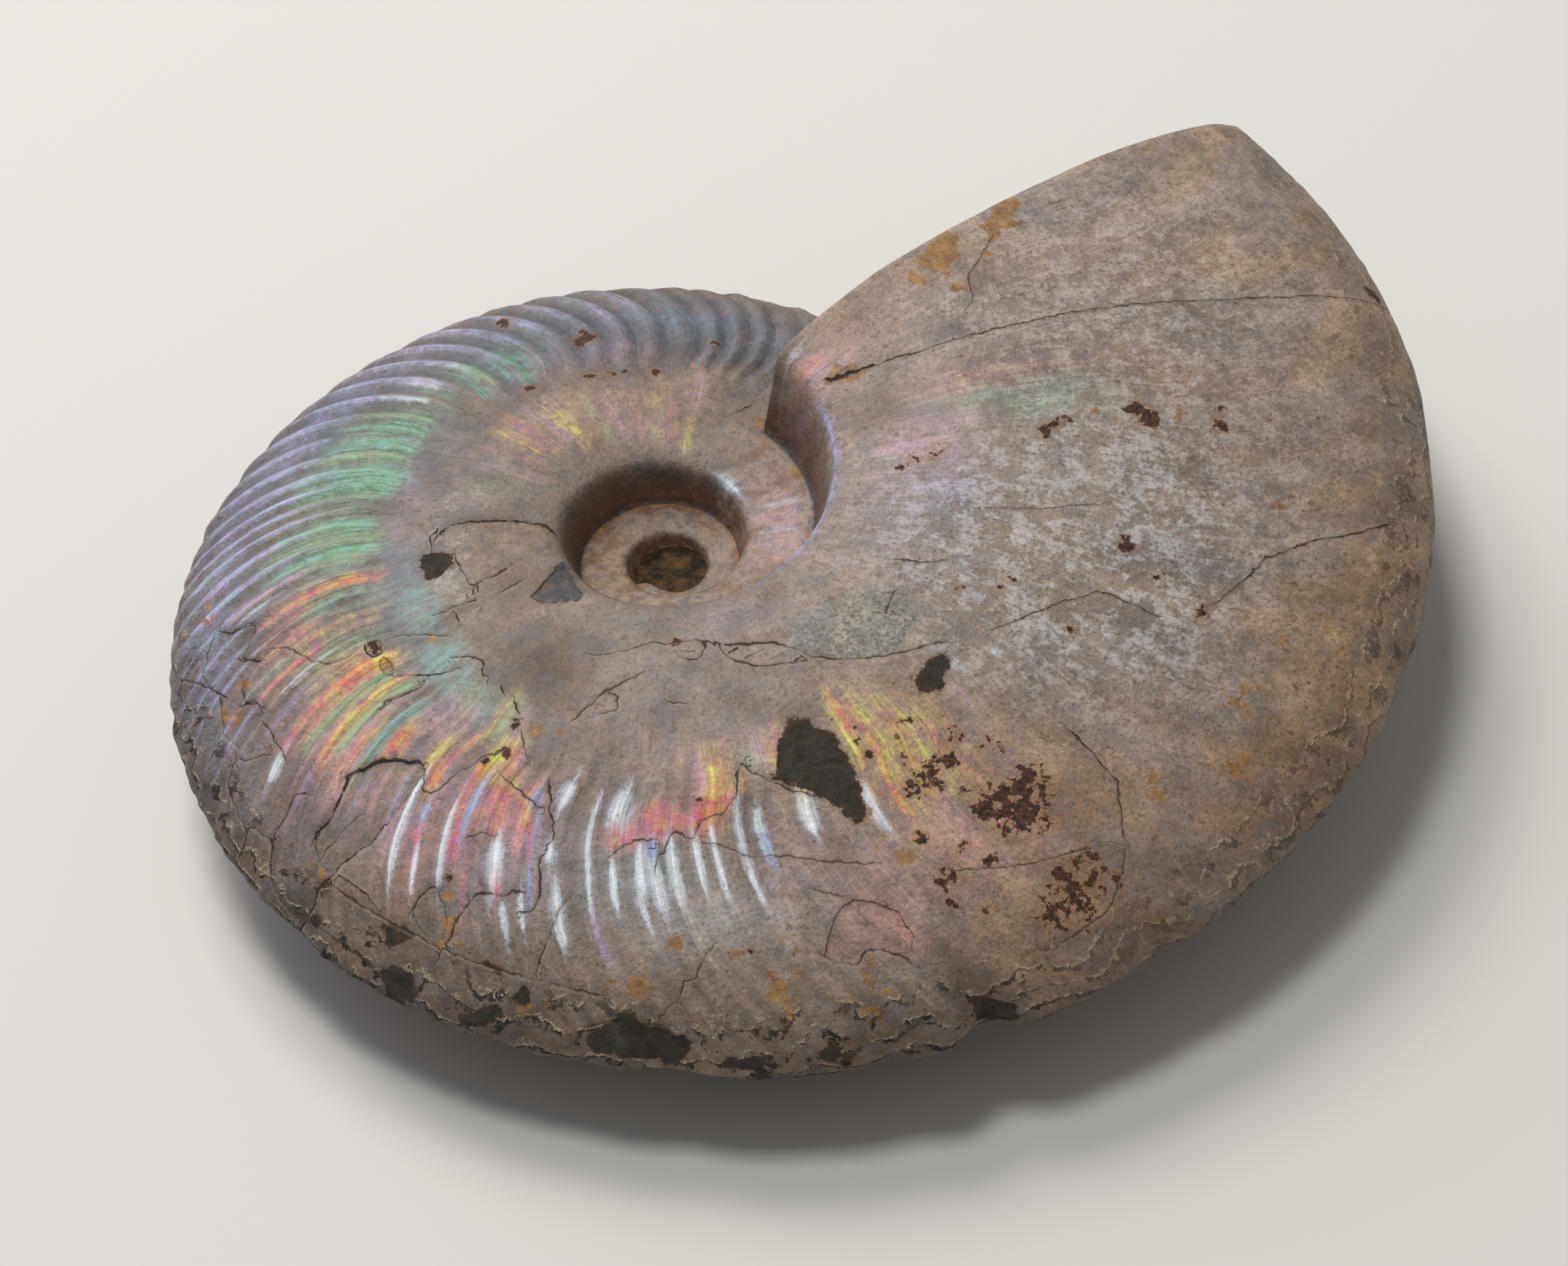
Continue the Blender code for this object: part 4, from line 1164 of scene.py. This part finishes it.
# %% Add a node
def add(tree, kind, inputs=(), out=0, **settings):
    """inputs are values, hex colours or other nodes' outputs, in order or by the socket's name or number."""
    node = tree.nodes.new("ShaderNode" + kind)
    for name, value in settings.items():
        setattr(node, name, value)
    for key, value in inputs.items() if isinstance(inputs, dict) else enumerate(inputs):
        if isinstance(value, bpy.types.NodeSocket):
            tree.links.new(value, node.inputs[key])
        else:
            node.inputs[key].default_value = rgba(value) if isinstance(value, str) else value
    return node.outputs[out] if node.outputs else None


def rgba(hex_colour):
    """An sRGB hex colour as a shader takes it."""
    return (*linear(hex_colour), 1)


def new_material(name):
    """An empty material and its tree of nodes."""
    material = bpy.data.materials.new(name)
    material.use_nodes = True
    material.node_tree.nodes.clear()
    return material, material.node_tree


def finish(tree, colour, rough, relief_mm, refraction):
    """Ends a material: its fine relief, its shader and its output."""
    bump = add(tree, "Bump", {"Strength": 1.0, "Distance": MM, "Height": relief_mm})
    shader = add(tree, "BsdfPrincipled", {"Base Color": colour, "Roughness": rough, "Normal": bump,
                                          "IOR": refraction})
    add(tree, "OutputMaterial", [shader])
    print("nodes:", len(tree.nodes))


PER_MM = 1 / MM
SMOOTH = {"interpolation_type": "SMOOTHSTEP"}
COLOUR = {"out": 2, "data_type": "RGBA"}
TIMES = {"operation": "MULTIPLY"}
TIMES_PLUS = {"operation": "MULTIPLY_ADD"}
LESS = {"operation": "SUBTRACT"}

# %% [markdown]
# ## Material: aragonite shell with nacre
# Fossil shell of aragonite. Its outer layer is worn to a dull, slightly chalky beige, and below it
# lies nacre, which shines. So the roughness falls from 0.5 to 0.2 where the nacre shows. The index
# of refraction is 1.6. The grain is drawn at 0.3 mm, coarser than the real 0.05 mm, so that it shows.

# %% Fields of the mesh
shell_material, tree = new_material("aragonite shell with nacre")
place_m = add(tree, "TexCoord", out="Object")
ground_here, hue_here = [
    add(tree, "Attribute", out="Color", attribute_name=name) for name in ("ground", "nacre hue")]
vectors = {}
for name in ("crack", "wear", "stain", "body", "shine"):
    field = add(tree, "Attribute", out="Vector", attribute_name=name)
    vectors[name] = add(tree, "SeparateXYZ", [field]).node.outputs
crack_side, crack_near, crack_half = vectors["crack"]
stone_off, flake_off, keel_here = vectors["wear"]
rust_here, ochre_here, chalk_here = vectors["stain"]
layers_up, sandy_here, _ = vectors["body"]
shine_here, inner_here, ribs_here = vectors["shine"]
lines_here = add(tree, "Attribute", out="Vector", attribute_name="lines")
print("nodes so far:", len(tree.nodes))

# %% Noises, from the grain to the blotches
grit, wobble, speck, blotch = [
    add(tree, "TexNoise", {"Vector": place_m, "Scale": PER_MM / size, "Detail": detail, "Roughness": rough})
    for size, detail, rough in ((0.3, 3, 0.6), (0.75, 3, 0.6), (1.0, 6, 0.75), (1.8, 5, 0.68))]
streak, hairs = [
    add(tree, "TexNoise", {"Vector": add(tree, "VectorMath", [lines_here, stretch], **TIMES), "Scale": 1,
                           "Detail": detail, "Roughness": 0.6})
    for stretch, detail in (((2.4, 6.0, 20.0), 3), ((0.42, 5.0, 20.0), 4))]
wobble_by = (1.1 * MM,) * 3
scale_place = add(tree, "VectorMath", [wobble.node.outputs["Color"], wobble_by, place_m], **TIMES_PLUS)
scales = add(tree, "TexVoronoi", {"Vector": scale_place, "Scale": PER_MM / 2.1}, out="Color")
scale_step = add(tree, "SeparateColor", [scales])
print("nodes so far:", len(tree.nodes))

# %% Tones of the dull shell
tones = [add(tree, "MapRange", limits) for limits in (
    [blotch, 0.3, 0.7, 0.74, 1.26], [grit, 0.3, 0.7, 0.75, 1.24], [streak, 0.3, 0.7, 0.89, 1.10],
    [speck, 0.3, 0.7, 0.75, 1.27], [scale_step, 0.0, 1.0, 0.91, 1.08])]
shade = tones[0]
for tone in tones[1:]:
    shade = add(tree, "Math", [shade, tone], **TIMES)
shade = add(tree, "CombineColor", [shade] * 3)
colour = add(tree, "Mix", {0: 1.0, 6: ground_here, 7: shade}, blend_type="MULTIPLY", **COLOUR)

# %% Chalk and stains on the dull shell
chalk_level = add(tree, "Math", [blotch, 0.34], **TIMES)
for pattern, part in ((speck, 0.52), (streak, 0.14), (scale_step, 0.05)):
    chalk_level = add(tree, "Math", [pattern, part, chalk_level], **TIMES_PLUS)
chalk_mask = add(tree, "Math", [add(tree, "MapRange", [chalk_level, 0.48, 0.58], **SMOOTH),
                                add(tree, "MapRange", [chalk_here, 0.02, 0.7], **SMOOTH)], **TIMES)
for tint, part, limits in (("#7c5d42", None, [blotch, 0.50, 0.66, 0.0, 0.45]),
                           ("#858790", None, [blotch, 0.47, 0.35, 0.0, 0.22]),
                           ("#4d3d30", None, [grit, 0.30, 0.40, 0.65, 0.0]),
                           ("#c4c1c1", chalk_mask, [grit, 0.30, 0.62, 0.30, 0.80]),
                           ("#a8927a", inner_here, [speck, 0.44, 0.56, 0.0, 0.6]),
                           ("#7c5b3b", inner_here, [blotch, 0.48, 0.58, 0.0, 0.65]),
                           ("#52504a", sandy_here, [grit, 0.40, 0.54, 0.75, 0.0])):
    weight = add(tree, "MapRange", limits, **SMOOTH)
    if part is not None:
        weight = add(tree, "Math", [weight, part], **TIMES)
    colour = add(tree, "Mix", {0: weight, 6: colour, 7: tint}, **COLOUR)
print("nodes so far:", len(tree.nodes))

# %% Nacre over it
line_part = add(tree, "MapRange", [streak, 0.36, 0.62], **SMOOTH)
nacre_part = add(tree, "Math", [line_part, 0.5, 0.5], **TIMES_PLUS)
for limits in ([speck, 0.36, 0.58, 0.25, 1.0], [blotch, 0.36, 0.50, 0.45, 1.0]):
    nacre_part = add(tree, "Math", [nacre_part, add(tree, "MapRange", limits, **SMOOTH)], **TIMES)
strong = add(tree, "MapRange", [shine_here, 0.5, 1.0, 0.0, 0.60], **SMOOTH)
nacre_part = add(tree, "Mix", {0: strong, 2: nacre_part, 3: 1.0})
nacre_mask = add(tree, "Math", [nacre_part, shine_here], use_clamp=True, **TIMES)
hue_shift = add(tree, "MapRange", [blotch, 0.3, 0.7, 0.40, 0.60])
hue_shift = add(tree, "Math", [add(tree, "Math", [speck, 0.5], **LESS), 0.22, hue_shift], **TIMES_PLUS)
hue_value = add(tree, "MapRange", [line_part, 0.0, 1.0, 0.80, 1.12])
nacre_colour = add(tree, "HueSaturation", {"Color": hue_here, "Hue": hue_shift, "Saturation": 1.05,
                                           "Value": hue_value})
colour = add(tree, "Mix", {0: nacre_mask, 6: colour, 7: nacre_colour}, **COLOUR)

# %% Ragged edges
# Each value is a distance or a strength, made ragged by one or two of the noises.
ragged_fields = []
for value, *frays in ((flake_off, (wobble, 0.45)), (ochre_here, (blotch, 2.2)),
                      (rust_here, (wobble, 1.6), (speck, 1.2)), (stone_off, (speck, 1.8)),
                      (crack_side, (wobble, 0.6))):
    for pattern, amount in frays:
        value = add(tree, "Math", [add(tree, "Math", [pattern, 0.5], **LESS), amount, value], **TIMES_PLUS)
    ragged_fields.append(value)
flake_edge, ochre_level, rust_level, stone_edge, crack_edge = ragged_fields

# %% Thin layers that peel along the keel
terrace = add(tree, "Math", [blotch, 0.9], **TIMES)
for value, factor in ((wobble, 0.8), (layers_up, 0.75)):
    terrace = add(tree, "Math", [value, factor, terrace], **TIMES_PLUS)
terrace_part, terrace_level = [add(tree, "Math", [terrace], operation=name) for name in ("FRACT", "FLOOR")]
keel_part = add(tree, "MapRange", [keel_here, 0.15, 0.70], **SMOOTH)
terrace_tone = add(tree, "Math", [add(tree, "Math", [terrace_level, 1.7], **TIMES), 1.0], operation="MODULO")
terrace_tone = add(tree, "MapRange", [terrace_tone, 0.0, 1.0, 0.78, 1.16])
terrace_tone = add(tree, "Mix", {0: keel_part, 2: 1.0, 3: terrace_tone})
terrace_tone = add(tree, "CombineColor", [terrace_tone] * 3)
colour = add(tree, "Mix", {0: 1.0, 6: colour, 7: terrace_tone}, blend_type="MULTIPLY", **COLOUR)
layer_here = add(tree, "Math", [add(tree, "MapRange", [speck, 0.42, 0.54], **SMOOTH), keel_part], **TIMES)
layer_edge, terrace_rise = [
    add(tree, "Math", [add(tree, "MapRange", [terrace_part, *limits], **SMOOTH), layer_here], **TIMES)
    for limits in ((0.16, 0.05), (0.0, 0.12, 1.0, 0.0))]
layer_edge = add(tree, "Math", [layer_edge, 0.60], **TIMES)
# Painted shade: the gaps under the peeling layers of the keel are near black.
gap_from = add(tree, "MapRange", [blotch, 0.44, 0.64, 0.96, 0.50])
layer_gap = add(tree, "Math", [terrace_part, gap_from], **LESS)
layer_gap = add(tree, "Math", [layer_gap, 16.0], use_clamp=True, **TIMES)
shaded_gap_mask = add(tree, "Math", [add(tree, "Math", [layer_gap, keel_here], **TIMES), layer_here], **TIMES)
print("nodes so far:", len(tree.nodes))

# %% Hairline cracks, and painted shade under the lips of the flakes
hair_off = add(tree, "Math", [add(tree, "Math", [hairs, 0.5], **LESS)], operation="ABSOLUTE")
hair_line = add(tree, "Math", [add(tree, "MapRange", [hair_off, 0.008, 0.022, 0.45, 0.0], **SMOOTH),
                               add(tree, "MapRange", [blotch, 0.54, 0.60], **SMOOTH)], **TIMES)
inside_flake = add(tree, "MapRange", [flake_edge, -0.05, 0.05, 1.0, 0.0], **SMOOTH)
# Painted shade: a dark band on the lower layer just inside each flake's edge, under the lip of the layer
# above.
under_lip_shade = add(tree, "MapRange", [flake_edge, -0.24, -0.05], **SMOOTH)
for limits in ([flake_edge, -0.02, 0.03, 1.0, 0.0], [blotch, 0.40, 0.60, 0.05, 0.7]):
    under_lip_shade = add(tree, "Math", [under_lip_shade, add(tree, "MapRange", limits, **SMOOTH)], **TIMES)

# %% Ochre and rust
ochre_mask = add(tree, "MapRange", [ochre_level, 0.46, 0.60, 0.0, 0.85], **SMOOTH)
ochre_part = add(tree, "MapRange", [speck, 0.38, 0.62])
ochre_colour = add(tree, "Mix", {0: ochre_part, 6: "#74491c", 7: "#ae7d36"}, **COLOUR)
rust_near = add(tree, "MapRange", [rust_here, 0.06, 0.30], **SMOOTH)
rust_mask, rust_halo = [
    add(tree, "Math", [add(tree, "MapRange", [rust_level, *limits], **SMOOTH), rust_near], **TIMES)
    for limits in ((0.60, 0.68), (0.30, 0.68, 0.0, 0.6))]
rust_part = add(tree, "MapRange", [grit, 0.40, 0.60], **SMOOTH)
rust_colour = add(tree, "Mix", {0: rust_part, 6: "#1e1009", 7: "#5a2f0e"}, **COLOUR)

# %% Matrix in the holes
stone_mask = add(tree, "MapRange", [stone_edge, -0.05, 0.06, 1.0, 0.0], **SMOOTH)
stone_fringe = add(tree, "MapRange", [stone_edge, 0.02, 0.40, 0.55, 0.0], **SMOOTH)
stone_part = add(tree, "MapRange", [speck, 0.36, 0.66])
stone_colour = add(tree, "Mix", {0: stone_part, 6: "#1d1811", 7: "#4a4131"}, **COLOUR)
stone_rim = add(tree, "Math", [add(tree, "MapRange", [stone_edge, -0.50, -0.05, 0.0, 0.7], **SMOOTH),
                               add(tree, "MapRange", [blotch, 0.46, 0.58], **SMOOTH)], **TIMES)
stone_colour = add(tree, "Mix", {0: stone_rim, 6: stone_colour, 7: "#5b3219"}, **COLOUR)

# %% Cracks
crack_width = add(tree, "Math", [crack_half, add(tree, "MapRange", [blotch, 0.38, 0.62, -0.2, 1.2])], **TIMES)
crack_off = add(tree, "Math", [add(tree, "Math", [crack_edge], operation="ABSOLUTE"), crack_width], **LESS)
by_crack = add(tree, "MapRange", [crack_near, 0.55, 0.75, 1.0, 0.0], **SMOOTH)
crack_mask, crack_halo = [
    add(tree, "Math", [add(tree, "MapRange", [crack_off, *limits], **SMOOTH), by_crack], **TIMES)
    for limits in ((-0.03, 0.03, 1.0, 0.0), (0.0, 0.30, 0.42, 0.0))]
crack_part = add(tree, "MapRange", [crack_half, 0.04, 0.12, 0.55, 0.92])
crack_part = add(tree, "Math", [crack_mask, crack_part], **TIMES)
crack_lip = add(tree, "Math", [add(tree, "MapRange", [crack_edge, 0.06, 0.12], **SMOOTH),
                               add(tree, "MapRange", [crack_edge, 0.14, 0.30, 0.28, 0.0], **SMOOTH)], **TIMES)
crack_lip = add(tree, "Math", [crack_lip, by_crack], **TIMES)
crack_step = add(tree, "Math", [add(tree, "MapRange", [crack_edge, -0.04, 0.04], **SMOOTH),
                                add(tree, "MapRange", [crack_near, 0.0, 0.9, 0.08, 0.0])], **TIMES)

# %% All of it laid over the shell, in order
# Of these, the dark gaps of the keel and the band under the flakes' lips are painted shade.
for mask, tint in ((layer_edge, "#c6b190"), (shaded_gap_mask, "#1b1510"), (hair_line, "#3a2a20"),
                   (under_lip_shade, "#2c2018"), (ochre_mask, ochre_colour), (rust_halo, "#996730"),
                   (rust_mask, rust_colour), (stone_fringe, "#6b4a2b"), (stone_mask, stone_colour),
                   (crack_halo, "#5f4836"), (crack_lip, "#b3a290"), (crack_part, "#22170f")):
    colour = add(tree, "Mix", {0: mask, 6: colour, 7: tint}, **COLOUR)
print("nodes so far:", len(tree.nodes))

# %% Gloss
rough = add(tree, "MapRange", [shine_here, 0.05, 0.65, 0.50, 0.20], **SMOOTH)
rough = add(tree, "Math", [add(tree, "Math", [blotch, 0.5], **LESS), 0.35, rough], **TIMES_PLUS)
dull = stone_mask
for mask in (rust_mask, crack_mask, shaded_gap_mask):
    dull = add(tree, "Math", [dull, mask], operation="MAXIMUM")
rough = add(tree, "Math", [rough, add(tree, "Math", [dull, 0.85], **TIMES)], operation="MAXIMUM")

# %% Fine relief in mm, and the shader
ribbed_streak = add(tree, "Math", [streak, ribs_here], **TIMES)
stone_grain = add(tree, "Math", [stone_mask, speck], **TIMES)
relief_mm = add(tree, "Math", [grit, 0.05], **TIMES)
for form, height_mm in ((speck, 0.17), (ribbed_streak, 0.06), (scale_step, 0.05), (crack_mask, -0.14),
                        (crack_step, 1.0), (terrace_rise, 0.10), (shaded_gap_mask, -0.20), (inside_flake, -0.12),
                        (stone_mask, -0.12), (stone_grain, 0.45), (chalk_mask, 0.03)):
    relief_mm = add(tree, "Math", [form, height_mm, relief_mm], **TIMES_PLUS)
finish(tree, colour, rough, relief_mm, 1.6)

# %% [markdown]
# ## Materials: matrix stone and the broken edge of the shell
# The matrix is fine clay ironstone: dull, dark olive brown and granular, so it is rough and bumpy.
# The broken edge shows the layers of the shell, paler than its outside.

# %% Matrix stone
stone_material, tree = new_material("clay ironstone matrix")
place_m = add(tree, "TexCoord", out="Object")
grains = add(tree, "TexNoise", {"Vector": place_m, "Scale": PER_MM / 0.3, "Detail": 5, "Roughness": 0.7})
lumps = add(tree, "TexNoise", {"Vector": place_m, "Scale": PER_MM / 1.3, "Detail": 5, "Roughness": 0.65})
lump_part = add(tree, "MapRange", [lumps, 0.35, 0.66], **SMOOTH)
colour = add(tree, "Mix", {0: lump_part, 6: "#1a130b", 7: "#6e5229"}, **COLOUR)
dark = add(tree, "MapRange", [grains, 0.35, 0.52, 0.75, 0.0], **SMOOTH)
colour = add(tree, "Mix", {0: dark, 6: colour, 7: "#1b160f"}, **COLOUR)
finish(tree, colour, 0.8, add(tree, "Math", [grains, 0.3], **TIMES), 1.5)

# %% Broken edge
edge_material, tree = new_material("broken edge of aragonite")
place_m = add(tree, "TexCoord", out="Object")
grains = add(tree, "TexNoise", {"Vector": place_m, "Scale": PER_MM / 0.35, "Detail": 4, "Roughness": 0.65})
grain_part = add(tree, "MapRange", [grains, 0.3, 0.7])
colour = add(tree, "Mix", {0: grain_part, 6: "#85705b", 7: "#c5b39c"}, **COLOUR)
finish(tree, colour, 0.6, add(tree, "Math", [grains, 0.15], **TIMES), 1.6)
for material in (shell_material, stone_material, edge_material):
    mesh.materials.append(material)
print("materials:", [m.name for m in mesh.materials])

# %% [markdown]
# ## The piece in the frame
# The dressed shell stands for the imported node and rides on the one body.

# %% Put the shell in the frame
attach(shell, "root")
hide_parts("ammonite")

# %% [markdown]
# ## Floor, light and camera
# A plain pale floor catches the shadow. One large soft lamp high behind the shell models the whorls.
# One straight above and a cool one low behind it give the ribs their gleam. The even world fills in.

# %% Floor
FLOOR_HALF = 3.0
floor_material, tree = new_material("pale matt board")
shader = add(tree, "BsdfPrincipled", {"Base Color": "#dedbd6", "Roughness": 0.9})
add(tree, "OutputMaterial", [shader])
floor_bm = bmesh.new()
bmesh.ops.create_grid(floor_bm, x_segments=1, y_segments=1, size=FLOOR_HALF)
floor_mesh = bpy.data.meshes.new("floor")
floor_bm.to_mesh(floor_mesh)
floor_bm.free()
floor_mesh.materials.append(floor_material)
floor = bpy.data.objects.new("floor", floor_mesh)
bpy.context.scene.collection.objects.link(floor)
print("floor:", 2 * FLOOR_HALF, "m wide")

# %% Lamps and world
SHELL_MIDDLE = Vector((0, 0, 0.012))


def softbox(name, place, size, power, tint):
    """A square area lamp that points at the middle of the shell."""
    lamp = bpy.data.lights.new(name, "AREA")
    lamp.shape, lamp.size, lamp.energy = "SQUARE", size, power
    lamp.color = linear(tint)
    body = bpy.data.objects.new(name, lamp)
    body.location = place
    body.rotation_euler = (SHELL_MIDDLE - body.location).to_track_quat("-Z", "Y").to_euler()
    bpy.context.scene.collection.objects.link(body)
    print(name, "at, m:", place)


softbox("key softbox", (-0.24, 0.42, 0.64), 0.36, 3.5, "#fffaf2")
softbox("overhead softbox", (-0.13, -0.01, 0.78), 0.20, 2.1, "#ffffff")
softbox("cool rear softbox", (-0.52, 0.70, 0.36), 0.40, 1.6, "#dfe8ff")
world = bpy.data.worlds.new("studio")
world.use_nodes = True
background = world.node_tree.nodes["Background"]
background.inputs["Color"].default_value = rgba("#f4f6fa")
background.inputs["Strength"].default_value = 0.25
bpy.context.scene.world = world
bpy.context.scene.view_settings.view_transform = "Standard"

# %% Camera
CAMERA_PLACE = Vector((7.863, -404.017, 382.566)) + COIL_PLACE
CAMERA_TARGET = Vector((7.863, -5.043, -0.163)) + COIL_PLACE
CAMERA_ROLL = math.radians(1.86)
LENS = 169.27
camera_data = bpy.data.cameras.new("camera")
camera_data.lens = LENS
camera_data.sensor_width = 36
camera_data.clip_start = 0.01
camera = bpy.data.objects.new("camera", camera_data)
forward = (CAMERA_TARGET - CAMERA_PLACE).normalized()
flat_right = forward.cross(Vector((0, 0, 1))).normalized()
right = Matrix.Rotation(CAMERA_ROLL, 3, forward) @ flat_right
up = right.cross(forward)
turned = Matrix((right, up, -forward)).transposed().to_4x4()
camera.matrix_world = Matrix.Translation(CAMERA_PLACE * MM) @ turned
bpy.context.scene.collection.objects.link(camera)
bpy.context.scene.camera = camera
print("camera at, mm:", [round(c, 1) for c in CAMERA_PLACE],
      "distance:", round((CAMERA_TARGET - CAMERA_PLACE).length, 1))
